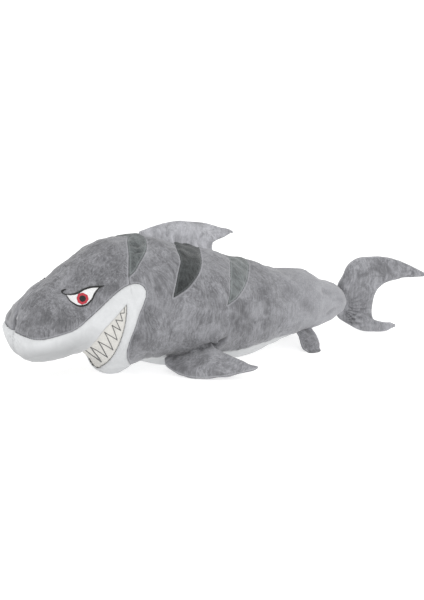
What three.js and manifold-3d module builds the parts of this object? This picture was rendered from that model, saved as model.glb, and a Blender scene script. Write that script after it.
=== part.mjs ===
// Stuffed plush shark, about one metre long, made of sewn panels over fibre filling.
// Nose towards -X, left side towards -Y, +Z up. The shark rests on z = 0 and its box is centred on the Z axis.
import * as THREE from "three";
import { mergeVertices } from "three/addons/utils/BufferGeometryUtils.js";
import Module from "manifold-3d";

const wasm = await Module();
wasm.setup();

// Driving dimensions, in millimetres.
const NOSE_X = -490;
const STOCK_END_X = 282;
const SKIN = 2;
const GAP = 0.3;
const FIN_SKIN = 1.6;
const RING_POINTS = 18;
const FIN_RING_POINTS = 10;
const DORSAL_LEAN = 35;
const TAIL_YAW = -18;
const CENTRE_SHIFT_X = 17.02;
const PRESSED_DEPTH = 8.5;

// Height of the back, height of the underside and half width, each as [x, value].
const BACK = [
  [-490, 139], [-465, 160], [-433, 184], [-399, 204], [-341, 240], [-290, 263], [-245, 268], [-191, 261],
  [-120, 244], [-44, 220], [10, 198], [60, 180], [110, 168], [160, 160], [200, 143], [235, 127], [282, 106],
];
const UNDERSIDE = [
  [-490, 49], [-465, 46], [-440, 43], [-405, 45], [-372, 51], [-352, 46], [-332, 27], [-311, 8], [-287, 3],
  [-262, 7], [-235, 13], [-205, 11], [-170, 5], [-120, 0], [-60, 0], [-10, 0], [40, 5], [80, 13], [110, 18],
  [160, 26], [200, 32], [235, 42], [282, 52],
];
const HALF_WIDTH = [
  [-490, 93], [-450, 101], [-400, 108], [-340, 114], [-280, 120], [-220, 125], [-150, 127], [-80, 124],
  [0, 112], [60, 99], [120, 84], [180, 66], [230, 50], [282, 34],
];
const STATIONS = [
  -489.9, -487, -479, -463, -435, -400, -374, -359, -345, -328, -311, -290, -255, -205, -150, -85, -15, 50,
  110, 165, 210, 245, 266, 277, 281.6,
];

function curveThrough(points) {
  const xs = points.map((p) => p[0]);
  const values = points.map((p) => p[1]);
  const slopes = xs.map((x, i) => {
    const a = Math.max(i - 1, 0);
    const b = Math.min(i + 1, xs.length - 1);
    return (values[b] - values[a]) / (xs[b] - xs[a]);
  });
  return (x) => {
    let i = 0;
    while (i < xs.length - 2 && x > xs[i + 1]) i += 1;
    const h = xs[i + 1] - xs[i];
    const t = (x - xs[i]) / h;
    const t2 = t * t;
    const t3 = t2 * t;
    return (2 * t3 - 3 * t2 + 1) * values[i] + (t3 - 2 * t2 + t) * h * slopes[i]
      + (3 * t2 - 2 * t3) * values[i + 1] + (t3 - t2) * h * slopes[i + 1];
  };
}

const back = curveThrough(BACK);
const underside = curveThrough(UNDERSIDE);
const halfWidth = curveThrough(HALF_WIDTH);

function roundedEnd(distance, length, power) {
  const t = Math.min(distance / length, 1);
  return Math.pow(1 - Math.pow(1 - t, power), 1 / power);
}

// The underside is pressed flat on the floor by the weight of the filling.
function pressed(z) {
  if (z > 2 * PRESSED_DEPTH) return z;
  return Math.max(2 * (z - PRESSED_DEPTH), 0);
}

function ringPoint(x, angle) {
  const top = back(x);
  const bottom = underside(x);
  const widest = bottom + 0.47 * (top - bottom);
  const up = Math.cos(angle);
  const side = Math.sin(angle);
  const nose = Math.min(Math.max((x + 490) / 190, 0), 1);
  const power = up > 0 ? 1.55 + 0.5 * nose : 2.06;
  const endTail = roundedEnd(STOCK_END_X - x, 36, 2);
  const wide = Math.min(roundedEnd(x - NOSE_X, 42, 3), endTail);
  const tall = Math.min(roundedEnd(x - NOSE_X, 30, 2.3), endTail);
  const y = halfWidth(x) * Math.sign(side) * Math.pow(Math.abs(side), 2 / power) * wide;
  const reach = up > 0 ? top - widest : widest - bottom;
  const z = widest + reach * Math.sign(up) * Math.pow(Math.abs(up), 2 / power) * tall;
  return new THREE.Vector3(x, y, pressed(z));
}

// Closed skin through equal rings of points, with a fan of triangles at each end. The two halves of a ring
// split their squares along mirrored diagonals, so the surface is symmetric.
function loftRings(rings, startCentre, endCentre) {
  const count = rings[0].length;
  const positions = [];
  for (const ring of rings) {
    for (const p of ring) positions.push(p.x, p.y, p.z);
  }
  const start = rings.length * count;
  positions.push(startCentre.x, startCentre.y, startCentre.z, endCentre.x, endCentre.y, endCentre.z);
  const index = [];
  for (let i = 0; i < rings.length - 1; i += 1) {
    for (let j = 0; j < count; j += 1) {
      const a = i * count + j;
      const b = i * count + ((j + 1) % count);
      if (j < count / 2) index.push(a, b, a + count, b, b + count, a + count);
      else index.push(a, b, b + count, a, b + count, a + count);
    }
  }
  const last = (rings.length - 1) * count;
  for (let j = 0; j < count; j += 1) {
    const k = (j + 1) % count;
    index.push(start, k, j);
    index.push(start + 1, last + j, last + k);
  }
  const geometry = new THREE.BufferGeometry();
  geometry.setAttribute("position", new THREE.Float32BufferAttribute(positions, 3));
  geometry.setIndex(index);
  return geometry;
}

function ringCentre(ring) {
  const centre = new THREE.Vector3();
  for (const p of ring) centre.addScaledVector(p, 1 / ring.length);
  return centre;
}

// The torso surface, moved along its own normals: offset > 0 is outside.
function torsoSurface(offset) {
  const rings = STATIONS.map((x) => {
    const ring = [];
    for (let j = 0; j < RING_POINTS; j += 1) ring.push(ringPoint(x, (2 * Math.PI * j) / RING_POINTS));
    return ring;
  });
  const geometry = loftRings(rings, ringCentre(rings[0]), ringCentre(rings[rings.length - 1]));
  geometry.computeVertexNormals();
  const position = geometry.attributes.position;
  const normal = geometry.attributes.normal;
  const side = signedVolume(geometry) > 0 ? 1 : -1;
  for (let i = 0; i < position.count; i += 1) {
    position.setXYZ(
      i,
      position.getX(i) + side * offset * normal.getX(i),
      position.getY(i) + side * offset * normal.getY(i),
      position.getZ(i) + side * offset * normal.getZ(i),
    );
  }
  return geometry;
}

function signedVolume(geometry) {
  const p = geometry.attributes.position;
  const index = geometry.index;
  const a = new THREE.Vector3();
  const b = new THREE.Vector3();
  const c = new THREE.Vector3();
  let volume = 0;
  for (let i = 0; i < index.count; i += 3) {
    a.fromBufferAttribute(p, index.getX(i));
    b.fromBufferAttribute(p, index.getX(i + 1));
    c.fromBufferAttribute(p, index.getX(i + 2));
    volume += a.dot(b.cross(c)) / 6;
  }
  return volume;
}

function turnedInsideOut(geometry) {
  const index = Array.from(geometry.index.array);
  for (let i = 0; i < index.length; i += 3) {
    const second = index[i + 1];
    index[i + 1] = index[i + 2];
    index[i + 2] = second;
  }
  geometry.setIndex(index);
  return geometry;
}

function solid(source) {
  let geometry = source.clone();
  geometry.deleteAttribute("normal");
  geometry.deleteAttribute("uv");
  geometry = mergeVertices(geometry, 1e-4);
  if (signedVolume(geometry) < 0) turnedInsideOut(geometry);
  return new wasm.Manifold(new wasm.Mesh({
    numProp: 3,
    vertProperties: new Float32Array(geometry.attributes.position.array),
    triVerts: new Uint32Array(geometry.index.array),
  }));
}

function geometryOf(body) {
  const mesh = body.getMesh();
  const geometry = new THREE.BufferGeometry();
  geometry.setAttribute("position", new THREE.Float32BufferAttribute(mesh.vertProperties, 3));
  geometry.setIndex(Array.from(mesh.triVerts));
  return geometry;
}

function mirroredAcrossCentre(geometry) {
  const copy = geometry.clone();
  copy.scale(1, -1, 1);
  return turnedInsideOut(copy);
}

// Flat outline grown outwards by a small amount.
function grown(points, amount) {
  const area = THREE.ShapeUtils.area(points.map((p) => new THREE.Vector2(p[0], p[1])));
  const turn = area > 0 ? 1 : -1;
  return points.map((p, i) => {
    const before = points[(i + points.length - 1) % points.length];
    const after = points[(i + 1) % points.length];
    const a = new THREE.Vector2(p[0] - before[0], p[1] - before[1]).normalize();
    const b = new THREE.Vector2(after[0] - p[0], after[1] - p[1]).normalize();
    const na = new THREE.Vector2(a.y, -a.x);
    const nb = new THREE.Vector2(b.y, -b.x);
    const middle = na.clone().add(nb);
    const stretch = Math.min(2 / Math.max(middle.lengthSq(), 0.3), 4);
    return [p[0] + turn * amount * middle.x * stretch, p[1] + turn * amount * middle.y * stretch];
  });
}

function smoothed(points, steps) {
  const curve = new THREE.CatmullRomCurve3(points.map((p) => new THREE.Vector3(p[0], p[1], 0)), false, "centripetal");
  return curve.getPoints(steps).map((p) => [p.x, p.y]);
}

// Side-view outline pushed through the left half of the shark.
function leftPrism(points) {
  const shape = new THREE.Shape(points.map((p) => new THREE.Vector2(p[0], p[1])));
  const geometry = new THREE.ExtrudeGeometry(shape, { depth: 300, bevelEnabled: false });
  geometry.rotateX(Math.PI / 2);
  geometry.translate(0, -GAP / 2, 0);
  return solid(geometry);
}

function plainBox(sizeX, sizeY, sizeZ, x, y, z) {
  const geometry = new THREE.BoxGeometry(sizeX, sizeY, sizeZ);
  geometry.translate(x, y, z);
  return solid(geometry);
}

// Sewn panel edges on the left side, as [x, z].
const LIP_SEAM = [
  [-560, 104], [-500, 106], [-477, 106], [-443, 111], [-400, 122], [-367, 145], [-332, 170], [-301, 190],
  [-284, 197], [-269, 198], [-258, 193], [-253, 183],
];
const JAW_REAR = [[-256, 170], [-273, 135], [-282, 109], [-290, 81], [-291, 61], [-283, 41], [-268, 24]];
const STRIPES = [
  [[-236, 300], [-236, 269], [-254, 264], [-270, 241], [-282, 211], [-266, 221], [-253, 233], [-232, 248],
    [-214, 260], [-202, 266], [-200, 300]],
  [[-134, 300], [-136, 250], [-150, 244], [-156, 234], [-165, 221], [-174, 211], [-188, 186], [-197, 165],
    [-160, 181], [-126, 204], [-108, 219], [-92, 231], [-78, 233], [-74, 300]],
  [[-12, 300], [-14, 208], [-34, 204], [-53, 182], [-67, 159], [-76, 136], [-49, 147], [-22, 163], [3, 180],
    [18, 188], [38, 190], [42, 300]],
];
const MOUTH_EDGE_TOP = [[-295, 162], [-309, 148], [-323, 135], [-341, 118], [-352, 98], [-361, 78], [-366, 58]];
const MOUTH_EDGE_JAW = [[-317, 12], [-319, 32], [-315, 61], [-308, 89], [-301, 117], [-297, 140]];
const BELLY_HALF_WIDTH = [
  [-268, 0], [-262, 38], [-240, 58], [-200, 68], [-120, 76], [-40, 78], [30, 74], [85, 62], [125, 44], [160, 22],
  [176, 0],
];

const mouthOutline = [...MOUTH_EDGE_TOP, [-366, -20], [-318, -20], ...MOUTH_EDGE_JAW];
const lipTop = smoothed(LIP_SEAM, 18);
const jawRear = smoothed([LIP_SEAM[LIP_SEAM.length - 1], ...JAW_REAR], 10);
const whiteOutline = [...lipTop, ...jawRear.slice(1), [-262, 0], [-262, -20], [-560, -20]];
// The head outline runs on under the white panel, which is taken out of it.
const headOutline = [
  ...LIP_SEAM.slice(0, 8).map((p) => [p[0], p[1] - 12]), [-283, 182], STRIPES[0][4], STRIPES[0][3],
  STRIPES[0][2], STRIPES[0][1], [-245, 400], [-560, 400],
];

function bellyPrism(grow) {
  const left = BELLY_HALF_WIDTH.map((p) => [p[0], -p[1]]);
  const right = BELLY_HALF_WIDTH.slice(1, -1).reverse().map((p) => [p[0], p[1]]);
  const points = grown([...left, ...right], grow);
  const shape = new THREE.Shape(points.map((p) => new THREE.Vector2(p[0], p[1])));
  const geometry = new THREE.ExtrudeGeometry(shape, { depth: 110, bevelEnabled: false });
  geometry.translate(0, 0, -20);
  return solid(geometry);
}

const torsoOuter = solid(torsoSurface(0));
const torsoInner = solid(torsoSurface(-SKIN));
const torsoSkin = torsoOuter.subtract(torsoInner);
const leftHalf = plainBox(1200, 300, 600, 0, -150 - GAP / 2, 150);
const leftSkin = torsoSkin.intersect(leftHalf);
const stripePrisms = STRIPES.map((outline) => leftPrism(outline));
const stripePrismsGrown = STRIPES.map((outline) => leftPrism(grown(outline, GAP)));
const whitePrism = leftPrism(whiteOutline);
const whitePrismGrown = leftPrism(grown(whiteOutline, GAP));
const headPrism = leftPrism(headOutline);
const headPrismGrown = leftPrism(grown(headOutline, GAP));

function mouthPatch() {
  const left = leftPrism(mouthOutline);
  const geometry = geometryOf(left);
  geometry.translate(0, GAP, 0);
  const leftWide = solid(geometry);
  const both = leftWide.add(solid(mirroredAcrossCentre(geometry)));
  return torsoSkin.intersect(both);
}

function whiteFacePanel() {
  return leftSkin.intersect(whitePrism).subtract(leftPrism(grown(mouthOutline, GAP))).subtract(bellyPrism(GAP));
}

function headPanel() {
  return leftSkin.intersect(headPrism).subtract(whitePrismGrown).subtract(stripePrismsGrown[0]);
}

function sidePanel() {
  let panel = leftSkin.subtract(whitePrismGrown).subtract(headPrismGrown).subtract(bellyPrism(GAP));
  for (const stripe of stripePrismsGrown) panel = panel.subtract(stripe);
  return panel;
}

function stripePanel(index) {
  return leftSkin.intersect(stripePrisms[index]);
}

function bellyPanel() {
  return torsoSkin.intersect(bellyPrism(0));
}

// Stitched eye, as [x, z] on the left of the head.
const EYE_UPPER = [[-401, 182], [-394, 183], [-385, 185], [-378, 188], [-371, 192], [-363, 195], [-355, 197], [-341, 196]];
const EYE_LOWER = [[-349, 190], [-355, 184], [-360, 177], [-366, 172], [-373, 167], [-381, 165], [-388, 165], [-395, 169], [-399, 174]];
const IRIS_CENTRE = [-379, 178];
const IRIS_RADIUS = 10.5;
const PUPIL_RADIUS = 5;
const LID_WIDTH = 3;
const BROW_HOOK = [[-398, 184], [-405, 186], [-398, 194], [-396, 192], [-400, 187], [-394, 186]];
const BROW_SPIKE = [[-343, 199], [-333, 199], [-331, 197], [-340, 195]];

function threadLayer(low, high) {
  return solid(torsoSurface(high)).subtract(solid(torsoSurface(low)));
}

function disc(centre, radius, sides) {
  const points = [];
  for (let i = 0; i < sides; i += 1) {
    const angle = (2 * Math.PI * i) / sides;
    points.push([centre[0] + radius * Math.cos(angle), centre[1] + radius * Math.sin(angle)]);
  }
  return points;
}

function eyeOutline() {
  const lids = leftPrism(grown([...EYE_UPPER, ...EYE_LOWER], LID_WIDTH));
  const ring = lids.add(leftPrism(BROW_HOOK)).add(leftPrism(BROW_SPIKE))
    .subtract(leftPrism(grown([...EYE_UPPER, ...EYE_LOWER], GAP)));
  return threadLayer(0.3, 2.4).intersect(ring);
}

function eyeWhite() {
  return threadLayer(0.3, 1.4).intersect(leftPrism([...EYE_UPPER, ...EYE_LOWER]));
}

function iris() {
  const inEye = leftPrism(grown([...EYE_UPPER, ...EYE_LOWER], -GAP));
  return threadLayer(1.7, 2.6).intersect(leftPrism(disc(IRIS_CENTRE, IRIS_RADIUS, 14))).intersect(inEye);
}

function pupil() {
  return threadLayer(2.9, 3.7).intersect(leftPrism(disc(IRIS_CENTRE, PUPIL_RADIUS, 10)));
}

// Zigzag line of thread for the teeth, across the left of the mouth.
const TEETH = [
  [-300, 156], [-301, 145], [-309, 145], [-305, 129], [-319, 133], [-309, 110], [-327, 123], [-315, 90],
  [-341, 109], [-320, 67], [-350, 88], [-324, 47], [-358, 72], [-325, 28], [-361, 60],
];
const THREAD = 1.8;

function strokeOutline(points, width) {
  const left = [];
  const right = [];
  points.forEach((p, i) => {
    const before = points[Math.max(i - 1, 0)];
    const after = points[Math.min(i + 1, points.length - 1)];
    const a = new THREE.Vector2(p[0] - before[0], p[1] - before[1]);
    const b = new THREE.Vector2(after[0] - p[0], after[1] - p[1]);
    const first = a.lengthSq() > 0 ? a.normalize() : b.clone().normalize();
    const second = b.lengthSq() > 0 ? b.normalize() : first.clone();
    const na = new THREE.Vector2(-first.y, first.x);
    const nb = new THREE.Vector2(-second.y, second.x);
    const middle = na.clone().add(nb);
    const stretch = (width / 2) * (2 / Math.max(middle.lengthSq(), 0.28));
    left.push([p[0] + middle.x * stretch, p[1] + middle.y * stretch]);
    right.push([p[0] - middle.x * stretch, p[1] - middle.y * stretch]);
  });
  return [...left, ...right.reverse()];
}

function teethStitching() {
  return threadLayer(0.3, 1.3).intersect(leftPrism(strokeOutline(TEETH, THREAD)));
}

// Fins are pillows: a row of lens-shaped sections from the sewn base to the tip. Each station gives the
// leading and trailing edge in the plane of the fin and the half thickness there.
function finSurface(stations, inset) {
  const centres = stations.map((s) => new THREE.Vector2((s.lead[0] + s.trail[0]) / 2, (s.lead[1] + s.trail[1]) / 2));
  const rings = stations.map((s, i) => {
    const lead = new THREE.Vector2(s.lead[0], s.lead[1]);
    const trail = new THREE.Vector2(s.trail[0], s.trail[1]);
    const half = lead.clone().sub(trail).multiplyScalar(0.5);
    const chord = half.length() - inset;
    half.setLength(chord);
    const centre = centres[i].clone();
    if (i === 0) centre.addScaledVector(centres[1].clone().sub(centres[0]).normalize(), inset);
    if (i === stations.length - 1) centre.addScaledVector(centres[i - 1].clone().sub(centres[i]).normalize(), inset);
    const ring = [];
    for (let j = 0; j < FIN_RING_POINTS; j += 1) {
      const angle = (2 * Math.PI * j) / FIN_RING_POINTS;
      const across = Math.cos(angle);
      const thick = (s.half - inset) * Math.sin(angle);
      ring.push(new THREE.Vector3(centre.x + half.x * across, centre.y + half.y * across, thick));
    }
    return ring;
  });
  return loftRings(rings, ringCentre(rings[0]), ringCentre(rings[rings.length - 1]));
}

function finPieces(stations) {
  const outer = solid(finSurface(stations, 0));
  const inner = solid(finSurface(stations, FIN_SKIN));
  const skin = outer.subtract(inner);
  return {
    filling: solid(finSurface(stations, FIN_SKIN + GAP)),
    above: skin.intersect(plainBox(900, 900, 100, 0, 0, 50 + GAP / 2)),
    below: skin.intersect(plainBox(900, 900, 100, 0, 0, -50 - GAP / 2)),
  };
}

const DORSAL = [
  { lead: [2, 0], trail: [163, 0], half: 3.2 },
  { lead: [-9, 5], trail: [164, 6], half: 6 },
  { lead: [3, 12], trail: [167, 13], half: 11 },
  { lead: [22, 22], trail: [180, 22], half: 13 },
  { lead: [48, 34], trail: [195, 30], half: 12 },
  { lead: [84, 46], trail: [203, 36], half: 9.5 },
  { lead: [142, 54], trail: [210, 41], half: 6 },
  { lead: [188, 51], trail: [213, 44], half: 3.2 },
];
const PECTORAL = [
  { lead: [-4, 1], trail: [100, 1], half: 3.2 },
  { lead: [-4, 10], trail: [104, 10], half: 7 },
  { lead: [4, 26], trail: [112, 22], half: 12 },
  { lead: [20, 48], trail: [124, 38], half: 15 },
  { lead: [50, 70], trail: [138, 56], half: 14 },
  { lead: [88, 84], trail: [151, 71], half: 11 },
  { lead: [124, 91], trail: [161, 81], half: 7 },
  { lead: [152, 94], trail: [166, 88], half: 3.4 },
];
const PELVIC = [
  { lead: [-4, 1], trail: [40, 1], half: 3 },
  { lead: [-7, 8], trail: [40, 8], half: 5 },
  { lead: [-12, 21], trail: [37, 21], half: 6.5 },
  { lead: [-14, 33], trail: [32, 34], half: 5.5 },
  { lead: [-10, 43], trail: [25, 43], half: 3 },
];
const TAIL = [
  { lead: [178, 131], trail: [172, 123], half: 3.4 },
  { lead: [160, 141], trail: [150, 122], half: 7 },
  { lead: [132, 155], trail: [128, 122], half: 10.5 },
  { lead: [106, 165], trail: [110, 118], half: 13 },
  { lead: [78, 171], trail: [96, 115], half: 14 },
  { lead: [48, 172], trail: [85, 111], half: 14 },
  { lead: [22, 169], trail: [77, 105], half: 13.5 },
  { lead: [2, 155], trail: [70, 98], half: 12.5 },
  { lead: [-9, 134], trail: [65, 87], half: 11.5 },
  { lead: [-9, 112], trail: [62, 76], half: 10.5 },
  { lead: [-1, 92], trail: [60, 63], half: 10 },
  { lead: [-3, 62], trail: [59, 50], half: 10.5 },
  { lead: [-12, 38], trail: [61, 36], half: 11 },
  { lead: [6, 21], trail: [66, 29], half: 11.5 },
  { lead: [34, 7], trail: [78, 25], half: 11 },
  { lead: [66, 2], trail: [92, 22], half: 9 },
  { lead: [92, 2], trail: [103, 21], half: 6.5 },
  { lead: [106, 8], trail: [111, 17], half: 3.4 },
];

const DORSAL_ORIGIN = new THREE.Vector3(-205, 0, 269.8);
const DORSAL_AXIS = new THREE.Vector3(161, 0, -43).normalize();
const PECTORAL_ORIGIN = new THREE.Vector3(-192, -76, 22);
const PECTORAL_AXIS = new THREE.Vector3(0.8935, -0.3496, 0.2817).normalize();
const PECTORAL_REACH = new THREE.Vector3(-0.1947, -0.867, -0.4587);
const PELVIC_ORIGIN = new THREE.Vector3(133, -56, 30);
const PELVIC_AXIS = new THREE.Vector3(0.9747, 0.1999, 0.0999).normalize();
const PELVIC_REACH = new THREE.Vector3(0.2169, -0.7376, -0.6395);
const TAIL_ORIGIN = new THREE.Vector3(286.5, 0, 0);

// Places the plane of a fin: local X along the hinge, local Y away from the body, local Z across the fin.
function finPlacement(origin, axis, reach) {
  const outward = reach.clone().addScaledVector(axis, -reach.dot(axis)).normalize();
  const across = axis.clone().cross(outward);
  return new THREE.Matrix4().makeBasis(axis, outward, across).setPosition(origin);
}

function dorsalPlacement() {
  const lean = THREE.MathUtils.degToRad(DORSAL_LEAN);
  const up = new THREE.Vector3(-DORSAL_AXIS.z, 0, DORSAL_AXIS.x);
  const reach = up.multiplyScalar(Math.cos(lean)).add(new THREE.Vector3(0, Math.sin(lean), 0));
  return finPlacement(DORSAL_ORIGIN, DORSAL_AXIS, reach);
}

function tailPlacement() {
  const yaw = THREE.MathUtils.degToRad(TAIL_YAW);
  const rearward = new THREE.Vector3(Math.cos(yaw), Math.sin(yaw), 0);
  return finPlacement(TAIL_ORIGIN, rearward, new THREE.Vector3(0, 0, 1));
}

const FABRICS = {
  grey_plush: { color: 0x8a8b90, roughness: 0.95 },
  head_plush: { color: 0x77787d, roughness: 0.95 },
  dark_stripe_plush: { color: 0x5c6462, roughness: 0.95 },
  white_plush: { color: 0xdde0e2, roughness: 0.95 },
  mouth_fabric: { color: 0xcfcec6, roughness: 0.9 },
  eye_white_thread: { color: 0xf2f2f0, roughness: 0.6 },
  iris_thread: { color: 0xb3202c, roughness: 0.5 },
  black_thread: { color: 0x1d1c20, roughness: 0.55 },
  teeth_thread: { color: 0x4a4a4c, roughness: 0.6 },
  polyester_filling: { color: 0xf4f4f2, roughness: 1 },
};

const shark = new THREE.Group();

function addPiece(name, geometry, fabric, parent = shark) {
  const material = new THREE.MeshStandardMaterial({ ...FABRICS[fabric], metalness: 0 });
  const mesh = new THREE.Mesh(geometry, material);
  mesh.name = name;
  parent.add(mesh);
}

function addPair(name, body, fabric) {
  const left = geometryOf(body);
  addPiece(`${name}_left`, left, fabric);
  addPiece(`${name}_right`, mirroredAcrossCentre(left), fabric);
}

function addFin(names, stations, placement, parent = shark) {
  const pieces = finPieces(stations);
  const group = new THREE.Group();
  group.applyMatrix4(placement);
  parent.add(group);
  addPiece(names.filling, geometryOf(pieces.filling), "polyester_filling", group);
  addPiece(names.above, geometryOf(pieces.above), "grey_plush", group);
  addPiece(names.below, geometryOf(pieces.below), "grey_plush", group);
}

function addMirroredFin(names, stations, placement) {
  const pieces = finPieces(stations);
  for (const key of ["filling", "above", "below"]) {
    const geometry = geometryOf(pieces[key]);
    geometry.applyMatrix4(placement);
    const fabric = key === "filling" ? "polyester_filling" : "grey_plush";
    addPiece(names[key], mirroredAcrossCentre(geometry), fabric);
  }
}

addPiece("torso_filling", geometryOf(solid(torsoSurface(-SKIN - GAP))), "polyester_filling");
addPair("head_panel", headPanel(), "head_plush");
addPair("side_panel", sidePanel(), "grey_plush");
addPair("stripe_front", stripePanel(0), "dark_stripe_plush");
addPair("stripe_middle", stripePanel(1), "dark_stripe_plush");
addPair("stripe_rear", stripePanel(2), "dark_stripe_plush");
addPair("white_face_panel", whiteFacePanel(), "white_plush");
addPiece("mouth_patch", geometryOf(mouthPatch()), "mouth_fabric");
addPiece("belly_panel", geometryOf(bellyPanel()), "white_plush");
addPair("eye_white", eyeWhite(), "eye_white_thread");
addPair("eye_iris", iris(), "iris_thread");
addPair("eye_pupil", pupil(), "black_thread");
addPair("eye_outline", eyeOutline(), "black_thread");
addPair("teeth_stitching", teethStitching(), "teeth_thread");

addFin(
  { filling: "dorsal_fin_filling", above: "dorsal_fin_panel_left", below: "dorsal_fin_panel_right" },
  DORSAL, dorsalPlacement(),
);
const pectoralPlacement = finPlacement(PECTORAL_ORIGIN, PECTORAL_AXIS, PECTORAL_REACH);
addFin(
  { filling: "pectoral_fin_left_filling", above: "pectoral_fin_left_lower", below: "pectoral_fin_left_upper" },
  PECTORAL, pectoralPlacement,
);
addMirroredFin(
  { filling: "pectoral_fin_right_filling", above: "pectoral_fin_right_lower", below: "pectoral_fin_right_upper" },
  PECTORAL, pectoralPlacement,
);
const pelvicPlacement = finPlacement(PELVIC_ORIGIN, PELVIC_AXIS, PELVIC_REACH);
addFin(
  { filling: "pelvic_fin_left_filling", above: "pelvic_fin_left_lower", below: "pelvic_fin_left_upper" },
  PELVIC, pelvicPlacement,
);
addMirroredFin(
  { filling: "pelvic_fin_right_filling", above: "pelvic_fin_right_lower", below: "pelvic_fin_right_upper" },
  PELVIC, pelvicPlacement,
);
addFin(
  { filling: "tail_fin_filling", above: "tail_fin_panel_left", below: "tail_fin_panel_right" },
  TAIL, tailPlacement(),
);

shark.position.set(CENTRE_SHIFT_X, 0, 0);
shark.updateMatrixWorld(true);

export default shark;
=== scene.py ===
# Stuffed plush shark: sewn plush panels over soft filling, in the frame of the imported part.
import math

import bmesh
import bpy
import numpy as np
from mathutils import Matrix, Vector
from mathutils.geometry import delaunay_2d_cdt
from mathutils.kdtree import KDTree


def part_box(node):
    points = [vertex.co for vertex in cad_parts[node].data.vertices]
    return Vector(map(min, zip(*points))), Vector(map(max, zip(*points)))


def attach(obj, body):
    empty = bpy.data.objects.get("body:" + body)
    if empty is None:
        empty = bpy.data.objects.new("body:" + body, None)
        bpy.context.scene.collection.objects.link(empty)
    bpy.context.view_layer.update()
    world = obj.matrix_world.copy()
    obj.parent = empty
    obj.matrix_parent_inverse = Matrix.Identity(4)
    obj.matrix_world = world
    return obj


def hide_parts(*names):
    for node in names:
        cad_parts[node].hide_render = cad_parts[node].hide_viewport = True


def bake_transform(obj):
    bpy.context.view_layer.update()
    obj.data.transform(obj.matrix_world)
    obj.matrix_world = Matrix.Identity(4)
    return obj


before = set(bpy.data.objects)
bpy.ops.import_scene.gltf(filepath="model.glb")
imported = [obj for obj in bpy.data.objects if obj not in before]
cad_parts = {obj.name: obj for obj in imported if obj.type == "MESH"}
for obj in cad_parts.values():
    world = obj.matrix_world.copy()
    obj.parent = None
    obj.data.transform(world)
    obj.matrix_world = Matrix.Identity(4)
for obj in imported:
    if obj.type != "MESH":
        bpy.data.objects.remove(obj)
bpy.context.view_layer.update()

# The shape is worked in millimetres with the nose at NOSE_X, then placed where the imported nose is.
NOSE_X = -489.9
STOCK_END_X = 282.0
NOSE_ROUND = 42.0
STOCK_ROUND = 36.0
PRESSED_DEPTH = 8.5
TO_METRES = 0.001
SHIFT_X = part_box("white_face_panel_left")[0][0] / TO_METRES - NOSE_X
GRID = 2.4
AROUND = 170
WIDEST_SHARE = 0.47
CREST_POWER = 1.55
CREST_CHANGE = 0.5
CREST_BLEND = 190
LOWER_POWER = 2.06
NO_SEAM = 60.0
PATH_STEP = 2

# Cloth and weld sizes in metres.
SHELL = 0.0016
FIN_SHELL = 0.0013
STITCH_BACKING = 0.0010
HALVES_GAP = 0.00005
FIN_GAP = 0.00003

BACK = [
    (-490, 139), (-465, 160), (-433, 184), (-399, 204), (-341, 240), (-290, 263), (-245, 268), (-191, 261),
    (-120, 244), (-44, 220), (10, 198), (60, 180), (110, 168), (160, 160), (200, 143), (235, 127), (282, 106),
]
UNDERSIDE = [
    (-490, 49), (-465, 46), (-440, 43), (-405, 45), (-372, 51), (-352, 46), (-332, 27), (-311, 8), (-287, 3),
    (-262, 7), (-235, 13), (-205, 11), (-170, 5), (-120, 0), (-60, 0), (-10, 0), (40, 5), (80, 13), (110, 18),
    (160, 26), (200, 32), (235, 42), (282, 52),
]
HALF_WIDTH = [
    (-490, 93), (-450, 101), (-400, 108), (-340, 114), (-280, 120), (-220, 125), (-150, 127), (-80, 124),
    (0, 112), (60, 99), (120, 84), (180, 66), (230, 50), (282, 34),
]
LIP_SEAM = [
    (-560, 104), (-500, 106), (-477, 106), (-443, 111), (-400, 122), (-367, 145), (-332, 170), (-301, 190),
    (-284, 197), (-269, 198), (-258, 193), (-253, 183),
]
JAW_REAR = [
    (-253, 183), (-256, 170), (-273, 135), (-282, 109), (-290, 81), (-291, 61), (-283, 41), (-268, 24),
]
STRIPES = {
    "front": [(-236, 300), (-236, 269), (-254, 264), (-270, 241), (-282, 211), (-266, 221), (-253, 233),
              (-232, 248), (-214, 260), (-202, 266), (-200, 300)],
    "middle": [(-134, 300), (-136, 250), (-150, 244), (-156, 234), (-165, 221), (-174, 211), (-188, 186),
               (-197, 165), (-160, 181), (-126, 204), (-108, 219), (-92, 231), (-78, 233), (-74, 300)],
    "rear": [(-12, 300), (-14, 208), (-34, 204), (-53, 182), (-67, 159), (-76, 136), (-49, 147), (-22, 163),
             (3, 180), (18, 188), (38, 190), (42, 300)],
}
MOUTH = [
    (-295, 162), (-309, 148), (-323, 135), (-341, 118), (-352, 98), (-361, 78), (-366, 58), (-366, -20),
    (-318, -20), (-317, 12), (-319, 32), (-315, 61), (-308, 89), (-301, 117), (-297, 140),
]
BELLY = [
    (-268, 0), (-262, 38), (-240, 58), (-200, 68), (-120, 76), (-40, 78), (30, 74), (85, 62), (125, 44),
    (160, 22), (176, 0),
]
EYE_UPPER = [
    (-401, 182), (-394, 183), (-385, 185), (-378, 188), (-371, 192), (-363, 195), (-355, 197), (-341, 196),
]
EYE_LOWER = [
    (-349, 190), (-355, 184), (-360, 177), (-366, 172), (-373, 167), (-381, 165), (-388, 165), (-395, 169),
    (-399, 174),
]
IRIS_CENTRE = (-377, 177)
IRIS_LEAN = 0.32
EYE_STEP = 1.2
LID_LINE = 2.7
HOOK_LINE = 1.9
TOOTH_LINE = 1.35
STITCH_EDGE = 1.6
BROW_HOOK = [(-397.2, 190.4), (-401.4, 188.8), (-404.3, 186.9), (-405.2, 184.9), (-403, 182.6), (-400, 181.6)]
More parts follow.
